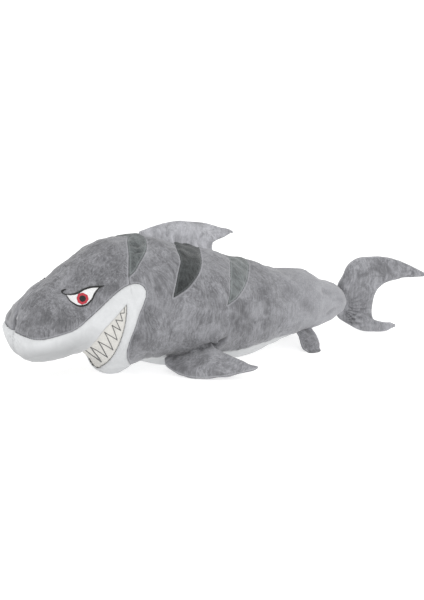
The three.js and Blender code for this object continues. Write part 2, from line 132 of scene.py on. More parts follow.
TEETH = [
    (-300, 156), (-301, 145), (-309, 145), (-305, 129), (-319, 133), (-309, 110), (-327, 123), (-315, 90),
    (-341, 109), (-320, 67), (-350, 88), (-324, 47), (-358, 72), (-325, 28), (-361, 60),
]


# ---------- curves and fields ----------

def curve_through(points):
    xs = np.array([p[0] for p in points], float)
    values = np.array([p[1] for p in points], float)
    last = len(xs) - 1
    before = np.maximum(np.arange(last + 1) - 1, 0)
    after = np.minimum(np.arange(last + 1) + 1, last)
    slopes = (values[after] - values[before]) / (xs[after] - xs[before])

    def value(x):
        i = np.clip(np.searchsorted(xs, x, side="left") - 1, 0, last - 1)
        h = xs[i + 1] - xs[i]
        t = (x - xs[i]) / h
        t2 = t * t
        t3 = t2 * t
        return ((2 * t3 - 3 * t2 + 1) * values[i] + (t3 - 2 * t2 + t) * h * slopes[i]
                + (3 * t2 - 2 * t3) * values[i + 1] + (t3 - t2) * h * slopes[i + 1])

    return value


back = curve_through(BACK)
underside = curve_through(UNDERSIDE)
half_width = curve_through(HALF_WIDTH)


def smooth_path(points, spacing, closed=False):
    """Centripetal Catmull-Rom curve through the points, sampled about every `spacing`."""
    points = [np.array(p, float) for p in points]
    if closed:
        ring = [points[-1]] + points + [points[0], points[1]]
    else:
        ring = [2 * points[0] - points[1]] + points + [2 * points[-1] - points[-2]]
    path = []
    for a, b, c, d in zip(ring, ring[1:], ring[2:], ring[3:]):
        steps = max(int(math.ceil(np.linalg.norm(c - b) / spacing)), 1)
        t1 = max(np.linalg.norm(b - a), 1e-6) ** 0.5
        t2 = t1 + max(np.linalg.norm(c - b), 1e-6) ** 0.5
        t3 = t2 + max(np.linalg.norm(d - c), 1e-6) ** 0.5
        for t in np.linspace(t1, t2, steps, endpoint=False):
            first = a + (b - a) * t / t1
            second = b + (c - b) * (t - t1) / (t2 - t1)
            third = c + (d - c) * (t - t2) / (t3 - t2)
            left = first + (second - first) * t / t2
            right = second + (third - second) * (t - t1) / (t3 - t1)
            path.append(left + (right - left) * (t - t1) / (t2 - t1))
    if not closed:
        path.append(points[-1])
    return np.array(path)


def distance_inside(points, outline):
    """Signed distance to a closed outline, positive inside."""
    outline = np.asarray(outline, float)
    nearest = np.full(len(points), 1e9)
    inside = np.zeros(len(points), bool)
    for a, b in zip(outline, np.roll(outline, -1, axis=0)):
        along = b - a
        t = np.clip(((points - a) @ along) / max(along @ along, 1e-9), 0, 1)
        gap = points - (a + t[:, None] * along)
        nearest = np.minimum(nearest, np.hypot(gap[:, 0], gap[:, 1]))
        crosses = (a[1] > points[:, 1]) != (b[1] > points[:, 1])
        rise = b[1] - a[1] if b[1] != a[1] else 1e-9
        inside ^= crosses & (points[:, 0] < a[0] + (points[:, 1] - a[1]) * along[0] / rise)
    return np.where(inside, nearest, -nearest)


def soft_noise(points, wavelength, seed, waves=26):
    """Smooth random field of about unit size: a sum of plane waves in random directions."""
    rng = np.random.default_rng(seed)
    total = np.zeros(len(points))
    for _ in range(waves):
        direction = rng.normal(size=3)
        direction /= np.linalg.norm(direction)
        length = wavelength * rng.uniform(0.7, 1.5)
        total += np.sin(points @ direction * (2 * math.pi / length) + rng.uniform(0, 2 * math.pi))
    return total / math.sqrt(waves / 2)


def unit_rows(vectors):
    return vectors / np.maximum(np.linalg.norm(vectors, axis=1, keepdims=True), 1e-9)


# ---------- torso surface ----------

def rounded_end(distance, length, power):
    t = np.clip(distance / length, 0, 1)
    return (1 - (1 - t) ** power) ** (1 / power)


def torso_section(x):
    top = back(x)
    bottom = underside(x)
    nose = np.clip((x + 490) / CREST_BLEND, 0, 1)
    tail = rounded_end(STOCK_END_X - x, STOCK_ROUND, 2)
    wide = half_width(x) * np.minimum(rounded_end(x - NOSE_X, NOSE_ROUND, 3), tail)
    tall = np.minimum(rounded_end(x - NOSE_X, 30, 2.3), tail)
    widest = bottom + WIDEST_SHARE * (top - bottom)
    return top - widest, widest - bottom, widest, wide, tall, CREST_POWER + CREST_CHANGE * nose


def pressed(z):
    """The underside is pressed flat on the floor by the weight of the filling."""
    return np.where(z > 2 * PRESSED_DEPTH, z, np.maximum(2 * (z - PRESSED_DEPTH), 0))


def torso_point(x, angle, side):
    """Point on the torso: angle 0 at the top and pi underneath; side is -1 on the left and 1 on the right."""
    above, below, widest, wide, tall, upper_power = torso_section(x)
    up = np.cos(angle)
    out = np.maximum(np.sin(angle), 0)
    power = np.where(up > 0, upper_power, LOWER_POWER)
    y = side * wide * out ** (2 / power)
    reach = np.where(up > 0, above, below)
    z = widest + reach * np.sign(up) * np.abs(up) ** (2 / power) * tall
    return np.stack([x + 0 * angle, y, pressed(z)], -1)


def flank_angle(x, z):
    above, below, widest, wide, tall, upper_power = torso_section(x)
    high = z > widest
    power = np.where(high, upper_power, LOWER_POWER)
    share = np.abs(z - widest) / np.maximum(np.where(high, above, below) * tall, 1e-6)
    up = np.clip(share, 0, 1) ** (power / 2)
    return np.arccos(np.where(high, up, -up))


def torso_normal(x, angle, side):
    step = 0.5
    along = torso_point(x + step, angle, side) - torso_point(x - step, angle, side)
    turn = 0.01
    below = torso_point(x, np.minimum(angle + turn, math.pi), side)
    above = torso_point(x, np.maximum(angle - turn, 0), side)
    return unit_rows(np.cross(along, below - above) * side)


def on_flank(outline, side):
    """Side-view points (x, z) carried onto the torso; points off the body are left out."""
    outline = np.asarray(outline, float)
    x, z = outline[:, 0], outline[:, 1]
    keep = (x > NOSE_X + 1) & (x < STOCK_END_X - 1)
    x, z = x[keep], z[keep]
    above, below, widest, wide, tall, _ = torso_section(x)
    keep = (z < widest + above * tall) & (z > widest - below * tall)
    x, z = x[keep], z[keep]
    return torso_point(x, flank_angle(x, z), side)


def belly_edge():
    path = smooth_path(BELLY, PATH_STEP)
    x, y = path[:, 0], np.abs(path[:, 1])
    wide = torso_section(x)[3]
    out = np.clip(y / np.maximum(wide, 1e-6), 0, 1)
    angle = math.pi - np.arcsin(out ** 1.03)
    return torso_point(x, angle, -1)


LIP_PATH = smooth_path(LIP_SEAM, PATH_STEP)
JAW_PATH = smooth_path(JAW_REAR, PATH_STEP)
WHITE_OUTLINE = np.concatenate([LIP_PATH, JAW_PATH[1:], [(-262, 0), (-262, -20), (-560, -20)]])
HEAD_REAR = [(-236, 400), (-236, 269), (-254, 264), (-270, 241), (-282, 211), (-283, 196), (-283, 180)]
MOUTH_FRONT = smooth_path(MOUTH[:7], PATH_STEP)
MOUTH_REAR = smooth_path(MOUTH[9:] + MOUTH[:1], PATH_STEP)[:-1]
MOUTH_OUTLINE = np.concatenate([MOUTH_FRONT, MOUTH[7:9], MOUTH_REAR])


def stripe_outline(points):
    tip = min(range(len(points)), key=lambda i: points[i][1])
    front = smooth_path(points[1:tip + 1], PATH_STEP)
    rear = smooth_path(points[tip:-1], PATH_STEP)
    return np.concatenate([[points[0]], front, rear[1:], [points[-1]]])


STRIPE_OUTLINES = {name: stripe_outline(points) for name, points in STRIPES.items()}


class Seams:
    """Nearest distance to the sewn lines of the left side, with the place along each line."""

    def __init__(self, lines):
        points = np.concatenate(lines)
        self.along = np.concatenate([np.arange(len(line)) * float(PATH_STEP) for line in lines])
        self.tree = KDTree(len(points))
        for i, point in enumerate(points):
            self.tree.insert(point, i)
        self.tree.balance()

    def query(self, points, reach=NO_SEAM):
        distance = np.full(len(points), reach)
        along = np.zeros(len(points))
        for i, point in enumerate(points):
            _, index, gap = self.tree.find(point)
            if gap < reach:
                distance[i] = gap
                along[i] = self.along[index]
        return distance, along


def head_rear_line():
    return on_flank(smooth_path(HEAD_REAR[1:], PATH_STEP), -1)


LIP_LINES = Seams([on_flank(LIP_PATH, -1), on_flank(JAW_PATH, -1)])
MOUTH_LINES = Seams([on_flank(MOUTH_OUTLINE, -1)])
STRIPE_LINES = [on_flank(outline, -1) for outline in STRIPE_OUTLINES.values()]
OTHER_LINES = Seams(STRIPE_LINES + [head_rear_line(), belly_edge()])


def seam_gaps(points):
    return [lines.query(points) for lines in (LIP_LINES, MOUTH_LINES, OTHER_LINES)]


# Soft creases pressed into the plush, on the left in side view: start, end, depth and width.
CREASES = [
    ((-100, 52), (-128, 58), 5.0, 5), ((-100, 52), (-78, 66), 4.0, 5), ((-98, 50), (-86, 34), 4.0, 5),
    ((-104, 50), (-120, 78), 2.5, 5), ((-90, 60), (-60, 74), 2.2, 7), ((-190, 30), (-215, 60), 3.0, 9),
    ((-182, 34), (-176, 70), 2.2, 9), ((-262, 170), (-240, 120), 1.8, 8), ((-268, 150), (-252, 90), 1.6, 10),
    ((-276, 90), (-240, 60), 2.2, 10), ((-230, 190), (-205, 120), 1.5, 12), ((-40, 120), (-5, 60), 2.0, 14),
    ((15, 150), (40, 80), 1.6, 14), ((-60, 95), (-20, 70), 2.4, 9), ((120, 110), (170, 70), 2.0, 12),
    ((190, 120), (240, 100), 2.0, 8), ((200, 70), (252, 84), 2.2, 8), ((215, 95), (262, 92), 1.8, 6),
    ((-484, 118), (-470, 140), 2.0, 5), ((-478, 128), (-455, 138), 1.5, 6), ((-470, 60), (-440, 75), 1.6, 8),
    ((-400, 70), (-372, 88), 1.6, 9), ((-345, 205), (-318, 228), 1.4, 8), ((-290, 215), (-262, 240), 1.3, 7),
    ((-254, 249), (-208, 253), 2.6, 2.4), ((-248, 258), (-216, 260), 2.0, 3.2),
    ((-244, 255), (-230, 263), 1.8, 2.6),
]


def crease_depth(points):
    total = np.zeros(len(points))
    flat = points[:, [0, 2]]
    for start, end, depth, width in CREASES:
        a = np.array(start, float)
        along = np.array(end, float) - a
        length = np.linalg.norm(along)
        t = (flat - a) @ along / length ** 2
        nearest = a + np.clip(t, 0, 1)[:, None] * along
        gap = np.linalg.norm(flat - nearest, axis=1)
        fade = np.clip(1.25 - t, 0, 1) * np.clip(1 + 6 * t, 0, 1)
        ridge = np.exp(-(gap / width) ** 2) - 0.45 * np.exp(-((gap - 1.6 * width) / width) ** 2)
        total += depth * fade * ridge
    return total


def torso_relief(points, zone, gaps):
    """Height of the stuffed, sewn surface above the plain loft, for points on the left side."""
    (lip_gap, lip_along), (mouth_gap, mouth_along), (other_gap, other_along) = gaps
    off_centre = np.abs(points[:, 1])
    centre_gap = np.where(centre_seam_zone(points, zone), off_centre, NO_SEAM)
    gap = np.minimum(np.minimum(lip_gap, other_gap), np.minimum(mouth_gap, centre_gap))
    height = -1.5 * np.exp(-gap / 1.5) - 1.7 * np.exp(-(gap / 7.0) ** 2) + 0.5 * (1 - np.exp(-gap / 22.0))
    for near, along in ((lip_gap, lip_along), (other_gap, other_along), (mouth_gap, mouth_along)):
        pucker = np.sin(along * 2 * math.pi / 13 + 1.7 * np.sin(along / 19.0))
        height += 0.35 * pucker * np.exp(-((near - 5) / 6.0) ** 2)
    white = zone == "white"
    mouth = zone == "mouth"
    height += np.where(white, 2.0 * np.exp(-((lip_gap - 8) / 8.0) ** 2), 0)
    height += np.where(white, 2.6 * np.exp(-((mouth_gap - 7) / 7.0) ** 2), 0)
    height -= np.where(mouth, 4.2 * (1 - np.exp(-mouth_gap / 5.0)), 0)
    on_top = np.clip((points[:, 2] - 110) / 30, 0, 1) * np.clip((points[:, 0] + 482) / 24, 0, 1)
    height += 2.0 * np.exp(-off_centre / 11.0) * on_top
    height -= 2.5 * np.clip((points[:, 0] - 225) / 40, 0, 1)
    height -= 8.0 * nose_cleft(points)
    height += np.where(white, crumpled_nose(points), 0)
    lumps = 1.3 * soft_noise(points, 150, 3) + 1.0 * soft_noise(points, 62, 4)
    lumps += 0.5 * soft_noise(points, 24, 5)
    calm = np.where(white | mouth, 0.45, 1.0)
    height += calm * lumps
    height -= crease_depth(points) * np.where(mouth, 0.3, 1.0)
    floor = np.clip(points[:, 2] / 14.0, 0.12, 1)
    return height * floor


def nose_cleft(points):
    """The sewn notch that runs down the middle of the snout, above the lip."""
    ahead = np.clip((-470 - points[:, 0]) / 10, 0, 1)
    tall = np.clip((points[:, 2] - 92) / 8, 0, 1) * np.clip((158 - points[:, 2]) / 16, 0, 1)
    return np.exp(-(points[:, 1] / 5.0) ** 2) * ahead * tall


def crumpled_nose(points):
    """Short creases in the white cloth where it is gathered under the tip of the snout."""
    rows = np.sin(points[:, 2] / 3.2 + 1.6 * soft_noise(points, 34, 9))
    wave = rows * np.cos(points[:, 1] / 13 + soft_noise(points, 30, 10))
    ahead = np.clip((-468 - points[:, 0]) / 14, 0, 1)
    central = np.exp(-((points[:, 1] + 6) / 34.0) ** 2)
    return 1.7 * wave * ahead * central * np.clip((points[:, 2] - 56) / 12, 0, 1)


def centre_seam_zone(points, zone):
    top = (points[:, 2] > 95) & (points[:, 0] < -466)
    under = (points[:, 0] < -372) | (points[:, 0] > 178)
    return top | under | (zone == "white")


# ---------- half grid, cut along the seams ----------

def grid_cells(rows, count):
    """The first corner of every cell in a grid of points."""
    return (np.arange(rows - 1)[:, None] * count + np.arange(count - 1)[None, :]).ravel()


def grid_quads(rows, count):
    a = grid_cells(rows, count)
    return np.stack([a, a + 1, a + count + 1, a + count], 1)


def station_positions():
    w = np.linspace(0.02, 1, 46)
    nose = NOSE_X + NOSE_ROUND * (1 - (1 - w ** 3) ** (1 / 3))
    middle = np.arange(NOSE_X + NOSE_ROUND, STOCK_END_X - STOCK_ROUND, GRID)[1:]
    w = np.linspace(1, 0.03, 24)
    tail = STOCK_END_X - STOCK_ROUND * (1 - np.sqrt(1 - w ** 2))
    return np.concatenate([nose, middle, tail])


class HalfMesh:
    """Triangles of one half of the torso, with x and angle for every vertex."""

    def __init__(self):
        xs = station_positions()
        count = AROUND
        angles = np.linspace(0, math.pi, count)
        self.x = np.repeat(xs, count)
        self.angle = np.tile(angles, len(xs))
        a = grid_cells(len(xs), count)
        corners = [np.stack([a, a + 1, a + count], 1), np.stack([a + 1, a + count + 1, a + count], 1)]
        fans = []
        for row, x in ((0, xs[0] - 0.05), (len(xs) - 1, xs[-1] + 0.02)):
            centre = len(self.x)
            self.x = np.append(self.x, x)
            self.angle = np.append(self.angle, math.pi / 2)
            first = row * count + np.arange(count - 1)
            fan = np.stack([first, np.full(count - 1, centre), first + 1], 1)
            fans.append(fan if row == 0 else fan[:, [0, 2, 1]])
        self.triangles = np.concatenate(corners + fans)
        self.centres = (len(self.x) - 2, len(self.x) - 1)

    def points(self, side=-1):
        points = torso_point(self.x, self.angle, side)
        for centre in self.centres:
            points[centre, 1] = 0
        return points

    def cut(self, field, chosen):
        """Splits the chosen triangles where field(points) is zero."""
        value = field(self.points())
        value[np.abs(value) < 0.12] = 0
        corner = value[self.triangles]
        crossing = chosen & (corner.max(1) > 0) & (corner.min(1) < 0)
        kept = list(self.triangles[~crossing])
        xs, angles, made = list(self.x), list(self.angle), {}

        def middle(i, j):
            key = (min(i, j), max(i, j))
            if key not in made:
                t = value[i] / (value[i] - value[j])
                made[key] = len(xs)
                xs.append(xs[i] + t * (xs[j] - xs[i]))
                angles.append(angles[i] + t * (angles[j] - angles[i]))
            return made[key]

        for triangle in self.triangles[crossing]:
            signs = np.sign(value[triangle])
            if (signs == 0).any():
                turn = int(np.argmax(signs == 0))
                a, b, c = np.roll(triangle, -turn)
                m = middle(b, c)
                kept += [np.array([a, b, m]), np.array([a, m, c])]
                continue
            lone = 1 if (signs > 0).sum() == 1 else -1
            turn = int(np.argmax(signs == lone))
            a, b, c = np.roll(triangle, -turn)
            m, n = middle(a, b), middle(a, c)
            kept += [np.array([a, m, n]), np.array([m, b, c]), np.array([m, c, n])]
        self.x, self.angle = np.array(xs), np.array(angles)
        self.triangles = np.array(kept)

    def centroids(self):
        return self.points()[self.triangles].mean(1)


def white_field(points):
    return distance_inside(points[:, [0, 2]], WHITE_OUTLINE)


def mouth_field(points):
    return distance_inside(points[:, [0, 2]], MOUTH_OUTLINE)


def belly_field(points):
    path = smooth_path(BELLY, 4)
    edge = np.interp(points[:, 0], path[:, 0], path[:, 1], left=-30, right=-30)
    low = points[:, 2] < 80
    return np.where(low, edge - np.abs(points[:, 1]), -60)


def stripe_field(name):
    return lambda points: distance_inside(points[:, [0, 2]], STRIPE_OUTLINES[name])


def head_field(points):
    ahead = np.concatenate([HEAD_REAR, [(-283, -50), (-600, -50), (-600, 400)]])
    return distance_inside(points[:, [0, 2]], ahead)


def cut_torso():
    """The half mesh cut along every seam, and the name of the zone each triangle is in."""
    half = HalfMesh()
    everywhere = np.ones(len(half.triangles), bool)
    half.cut(white_field, everywhere)
    middle = half.centroids()
    half.cut(mouth_field, white_field(middle) > 0)
    half.cut(belly_field, mouth_field(half.centroids()) < 0)
    for name in STRIPES:
        half.cut(stripe_field(name), white_field(half.centroids()) < 0)
    middle = half.centroids()
    half.cut(head_field, (white_field(middle) < 0) & (middle[:, 2] > 150))
    middle = half.centroids()
    zone = np.full(len(middle), "side", dtype=object)
    zone[(head_field(middle) > 0)] = "head"
    for name in STRIPES:
        zone[stripe_field(name)(middle) > 0] = "stripe_" + name
    zone[white_field(middle) > 0] = "white"
    zone[mouth_field(middle) > 0] = "mouth"
    zone[(belly_field(middle) > 0)] = "belly"
    return half, zone


def vertex_normals(points, triangles):
    a, b, c = (points[triangles[:, k]] for k in range(3))
    face = np.cross(b - a, c - a)
    normal = np.zeros_like(points)
    for k in range(3):
        np.add.at(normal, triangles[:, k], face)
    return normal


def place(points):
    moved = np.array(points, float)
    moved[:, 0] += SHIFT_X
    return moved * TO_METRES


# ---------- meshes ----------

def new_object(name, points, faces, attributes=None, smooth=True):
    mesh = bpy.data.meshes.new(name)
    mesh.from_pydata([tuple(p) for p in points], [], [tuple(int(i) for i in f) for f in faces])
    for key, values in (attributes or {}).items():
        layer = mesh.attributes.new(key, "FLOAT", "POINT")
        layer.data.foreach_set("value", np.asarray(values, np.float32))
    mesh.polygons.foreach_set("use_smooth", [smooth] * len(mesh.polygons))
    mesh.update()
    piece = bpy.data.objects.new(name, mesh)
    bpy.context.scene.collection.objects.link(piece)
    return piece


def apply_modifiers(piece):
    graph = bpy.context.evaluated_depsgraph_get()
    mesh = bpy.data.meshes.new_from_object(piece.evaluated_get(graph))
    piece.modifiers.clear()
    piece.data = mesh


def thicken(piece, thickness):
    modifier = piece.modifiers.new("cloth thickness", "SOLIDIFY")
    modifier.thickness = thickness
    modifier.offset = -1
    modifier.use_even_offset = False
    apply_modifiers(piece)


def weld(piece, gap=HALVES_GAP):
    modifier = piece.modifiers.new("join the halves", "WELD")
    modifier.merge_threshold = gap
    apply_modifiers(piece)


def edit_mesh(piece, change):
    shape = bmesh.new()
    shape.from_mesh(piece.data)
    change(shape)
    shape.to_mesh(piece.data)
    shape.free()


def close_holes(piece):
    def change(shape):
        bmesh.ops.holes_fill(shape, edges=[e for e in shape.edges if e.is_boundary], sides=0)
        bmesh.ops.triangulate(shape, faces=[f for f in shape.faces if len(f.verts) > 4])
        bmesh.ops.recalc_face_normals(shape, faces=shape.faces[:])

    edit_mesh(piece, change)


def point_faces_out(piece):
    edit_mesh(piece, lambda shape: bmesh.ops.recalc_face_normals(shape, faces=shape.faces[:]))


def face_towards(piece, direction):
    """Turns an open sheet over if its faces point away from the direction."""
    def change(shape):
        total = sum((f.normal * f.calc_area() for f in shape.faces), Vector())
        if total.dot(Vector(direction)) < 0:
            bmesh.ops.reverse_faces(shape, faces=shape.faces[:])

    edit_mesh(piece, change)


def only_used(points, triangles, extra):
    used = np.unique(triangles)
    renumber = np.full(len(points), -1)
    renumber[used] = np.arange(len(used))
    return points[used], renumber[triangles], {key: values[used] for key, values in extra.items()}


def finish_piece(piece, material, body, node):
    piece.data.materials.clear()
    piece.data.materials.append(MATERIALS[material])
    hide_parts(node)
    if body:
        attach(piece, body)


def finish_stitching(piece, thread, node):
    finish_piece(piece, thread, "torso", node)


# ---------- materials ----------

def socket(node, name, value):
    node.inputs[name].default_value = value


def new_material(name, roughness, sheen, specular=0.2):
    material = bpy.data.materials.new(name)
    material.use_nodes = True
    tree = material.node_tree
    shader = tree.nodes["Principled BSDF"]
    socket(shader, "Roughness", roughness)
    socket(shader, "Sheen Weight", sheen)
    socket(shader, "Sheen Roughness", 0.45)
    socket(shader, "Specular IOR Level", specular)
    coordinates = tree.nodes.new("ShaderNodeTexCoord")
    return material, tree, shader, coordinates.outputs["Object"]


def stretch(tree, vector, scale, turn=(0, 0, 0)):
    node = tree.nodes.new("ShaderNodeMapping")
    socket(node, "Scale", scale)
    socket(node, "Rotation", turn)
    tree.links.new(vector, node.inputs["Vector"])
    return node.outputs["Vector"]


def noise_node(tree, vector, scale, detail, roughness=0.5, distortion=0.0):
    node = tree.nodes.new("ShaderNodeTexNoise")
    settings = (("Scale", scale), ("Detail", detail), ("Roughness", roughness), ("Distortion", distortion))
    for key, number in settings:
        socket(node, key, number)
    tree.links.new(vector, node.inputs["Vector"])
    return node


def noise_value(*settings):
    return noise_node(*settings).outputs["Fac"]


def math_node(tree, operation, a, b=0.5):
    node = tree.nodes.new("ShaderNodeMath")
    node.operation = operation
    for place_in, value in zip(node.inputs, (a, b)):
        if isinstance(value, (int, float)):
            place_in.default_value = value
        else:
            tree.links.new(value, place_in)
    return node.outputs[0]


def times(tree, a, b):
    return math_node(tree, "MULTIPLY", a, b)


def plus(tree, a, b):
    return math_node(tree, "ADD", a, b)


def mix_value(tree, factor, a, b):
    """a where the factor is 0 and b where it is 1."""
    return plus(tree, a, times(tree, math_node(tree, "SUBTRACT", b, a), factor))


def remap(tree, value, low, high, new_low=0.0, new_high=1.0):
    node = tree.nodes.new("ShaderNodeMapRange")
    node.interpolation_type = "SMOOTHSTEP"
    for name, number in (("From Min", low), ("From Max", high), ("To Min", new_low), ("To Max", new_high)):
        socket(node, name, number)
    tree.links.new(value, node.inputs["Value"])
    return node.outputs["Result"]


def mix_colour(tree, factor, a, b):
    node = tree.nodes.new("ShaderNodeMix")
    node.data_type = "RGBA"
    colours = [s for s in node.inputs if s.type == "RGBA"]
    for place_in, value in zip(colours, (a, b)):
        if isinstance(value, tuple):
            place_in.default_value = value
        else:
            tree.links.new(value, place_in)
    factor_in = next(s for s in node.inputs if s.type == "VALUE")
    if isinstance(factor, (int, float)):
        factor_in.default_value = factor
    else:
        tree.links.new(factor, factor_in)
    return next(s for s in node.outputs if s.type == "RGBA")


def add_bump(tree, shader, height, strength, distance):
    node = tree.nodes.new("ShaderNodeBump")
    socket(node, "Strength", strength)
    socket(node, "Distance", distance)
    tree.links.new(height, node.inputs["Height"])
    tree.links.new(node.outputs["Normal"], shader.inputs["Normal"])


def attribute_value(tree, name):
    node = tree.nodes.new("ShaderNodeAttribute")
    node.attribute_name = name
    return node.outputs["Fac"]


def grey(level, tint=(1.0, 1.0, 1.0)):
    """Linear colour from a display level of 0 to 255, with a tint."""
    linear = (level / 255) ** 2.2
    return (linear * tint[0], linear * tint[1], linear * tint[2], 1.0)


COOL = (0.985, 0.99, 1.05)

# How much of the plush's tone comes from each size of mark, and display levels added or taken away; the lift
# beside the seams is a painted highlight, and the drop in folds and along seams is painted shade.
PATCH_SHARE = 0.38
STROKE_SHARE = 0.42
BROAD_SHARE = 0.2
STREAK_LIFT = 24
SEAM_HIGHLIGHT_LIFT = 26
PILE_DROP = 14
PAINTED_SHADE_DROP = 40


def brushed_strokes(tree, where, scale):
    """Short strokes in the pile that run a different way from patch to patch."""
    warp = noise_node(tree, where, 9, 2)
    push = tree.nodes.new("ShaderNodeVectorMath")
    push.operation = "MULTIPLY_ADD"
    push.inputs[1].default_value = (0.07, 0.07, 0.07)
    tree.links.new(warp.outputs["Color"], push.inputs[0])
    tree.links.new(where, push.inputs[2])
    bent = push.outputs[0]
    layers = [noise_value(tree, stretch(tree, bent, (1, 1, 0.2), turn), scale, 4, 0.62, 0.5)
              for turn in ((0.2, 0.35, 0), (0.1, 1.25, 0.3), (-0.2, -0.8, 0.4))]
    first = remap(tree, noise_value(tree, where, 17, 2, 0.5), 0.44, 0.56)
    second = remap(tree, noise_value(tree, where, 12, 2, 0.5, 0.7), 0.46, 0.6)
    return mix_value(tree, second, mix_value(tree, first, layers[0], layers[1]), layers[2])


def crushed_plush(name, dark, light, tint=COOL, streaks=0.5, rear_lift=0):
    """Short plush whose nap lies in different directions: soft blotches, brushed strokes and fine pile, with
    painted shade in folds and seams and a painted highlight beside the seams.
    """
    material, tree, shader, where = new_material(name, 0.95, 0.3)
    patch = noise_value(tree, where, 26, 4, 0.58, 0.9)
    broad = noise_value(tree, where, 8, 2, 0.5, 0.4)
    strokes = brushed_strokes(tree, where, 230)
    pile = noise_value(tree, where, 800, 2, 0.6)
    lay = plus(tree, times(tree, patch, PATCH_SHARE), times(tree, strokes, STROKE_SHARE))
    lay = plus(tree, lay, times(tree, broad, BROAD_SHARE))
    amount = remap(tree, lay, 0.36, 0.64)
    colour = mix_colour(tree, amount, grey(dark, tint), grey(light, tint))
    if rear_lift:
        split = tree.nodes.new("ShaderNodeSeparateXYZ")
        tree.links.new(where, split.inputs[0])
        rearward = remap(tree, split.outputs["X"], 0.02, 0.24, 0.0, 0.6)
        colour = mix_colour(tree, rearward, colour, grey(light + rear_lift, tint))
    waves = noise_value(tree, where, 40, 6, 0.66, 2.4)
    ridge = math_node(tree, "ABSOLUTE", math_node(tree, "SUBTRACT", waves, 0.5))
    stroke = remap(tree, ridge, 0.0, 0.016, 1.0, 0.0)
    where_stroked = remap(tree, noise_value(tree, where, 20, 3, 0.6), 0.5, 0.6)
    stroke = times(tree, times(tree, stroke, where_stroked), streaks)
    colour = mix_colour(tree, stroke, colour, grey(light + STREAK_LIFT, tint))
    fine = remap(tree, pile, 0.3, 0.7, 0.0, 0.38)
    colour = mix_colour(tree, fine, colour, grey(dark - PILE_DROP, tint))
    # Painted shade in creases, gather valleys and the nose cleft, from a vertex attribute.
    painted_shade = times(tree, attribute_value(tree, "painted_shade"), 0.5)
    colour = mix_colour(tree, painted_shade, colour, grey(dark - PAINTED_SHADE_DROP, tint))
    # Painted shadow in the seam grooves, and a painted highlight on the rolled cloth just beside each seam.
    seam = remap(tree, attribute_value(tree, "seam"), 0.0, 2.6, 1.0, 0.0)
    edge = remap(tree, attribute_value(tree, "seam"), 1.6, 5.0, 0.4, 0.0)
    colour = mix_colour(tree, edge, colour, grey(light + SEAM_HIGHLIGHT_LIFT, tint))
    colour = mix_colour(tree, times(tree, seam, 0.6), colour, grey(dark - PAINTED_SHADE_DROP, tint))
    tree.links.new(colour, shader.inputs["Base Color"])
    height = plus(tree, lay, times(tree, pile, 0.12))
    add_bump(tree, shader, height, 0.55, 0.0035)
    return material


def white_plush(level, tint, shade):
    material, tree, shader, where = new_material("white plush", 0.95, 0.25)
    patch = noise_value(tree, where, 30, 4, 0.6, 0.8)
    pile = noise_value(tree, where, 1000, 2, 0.6)
    colour = mix_colour(tree, remap(tree, patch, 0.35, 0.65), grey(level - shade, tint), grey(level, tint))
    colour = mix_colour(tree, remap(tree, pile, 0.3, 0.7, 0.0, 0.3), colour, grey(level - 2 * shade, tint))
    # Painted shade on cloth that faces downward and in the valleys of the crumpled nose, from a vertex
    # attribute.
    shaded = times(tree, attribute_value(tree, "painted_shade"), 0.5)
    colour = mix_colour(tree, shaded, colour, grey(level - 75, tint))
    # Painted shadow in the seam grooves.
    seam = remap(tree, attribute_value(tree, "seam"), 0.0, 2.6, 0.3, 0.0)
    colour = mix_colour(tree, seam, colour, grey(level - 70, tint))
    tree.links.new(colour, shader.inputs["Base Color"])
    height = plus(tree, times(tree, patch, 0.8), times(tree, pile, 0.15))
    add_bump(tree, shader, height, 0.4, 0.003)
    return material


def mouth_fabric():
    material, tree, shader, where = new_material("mouth fabric", 0.85, 0.1)
    rib = noise_value(tree, stretch(tree, where, (1.0, 1.0, 0.2), (0.0, 0.7, 0.0)), 260, 3, 0.6)
    patch = noise_value(tree, where, 40, 3, 0.5)
    tint = (1.02, 1.0, 0.95)
    colour = mix_colour(tree, remap(tree, patch, 0.3, 0.7), grey(197, tint), grey(209, tint))
    colour = mix_colour(tree, remap(tree, rib, 0.35, 0.65, 0.0, 0.3), colour, grey(180, tint))
    seam = remap(tree, attribute_value(tree, "seam"), 0.0, 2.4, 0.3, 0.0)
    colour = mix_colour(tree, seam, colour, grey(150, tint))
    tree.links.new(colour, shader.inputs["Base Color"])
    add_bump(tree, shader, plus(tree, rib, times(tree, patch, 0.6)), 0.35, 0.002)
    return material


def satin_thread(name, colour, second, angle):
    """Rows of close stitches lying side by side, with a soft shine."""
    material, tree, shader, where = new_material(name, 0.5, 0.15, specular=0.45)
    rows = tree.nodes.new("ShaderNodeTexWave")
    rows.wave_type = "BANDS"
    rows.bands_direction = "X"
    for key, number in (("Scale", 380.0), ("Distortion", 2.0), ("Detail", 2.0), ("Detail Scale", 0.6)):
        socket(rows, key, number)
    tree.links.new(stretch(tree, where, (1, 1, 1), (0, angle, 0)), rows.inputs["Vector"])
    stitch = rows.outputs["Fac"]
    uneven = noise_value(tree, where, 160, 3, 0.6)
    amount = times(tree, plus(tree, stitch, uneven), 0.5)
    tree.links.new(mix_colour(tree, amount, second, colour), shader.inputs["Base Color"])
    add_bump(tree, shader, stitch, 0.5, 0.0006)
    return material


def wadding():
    material, tree, shader, where = new_material("polyester wadding", 0.9, 0.3)
    clump = noise_value(tree, where, 55, 5, 0.65, 1.5)
    fibre = noise_value(tree, stretch(tree, where, (1, 0.2, 1), (0.4, 0.2, 0.6)), 500, 3, 0.7, 1.0)
    tree.links.new(mix_colour(tree, clump, grey(222), grey(246)), shader.inputs["Base Color"])
    add_bump(tree, shader, plus(tree, clump, times(tree, fibre, 0.4)), 0.8, 0.006)
    return material


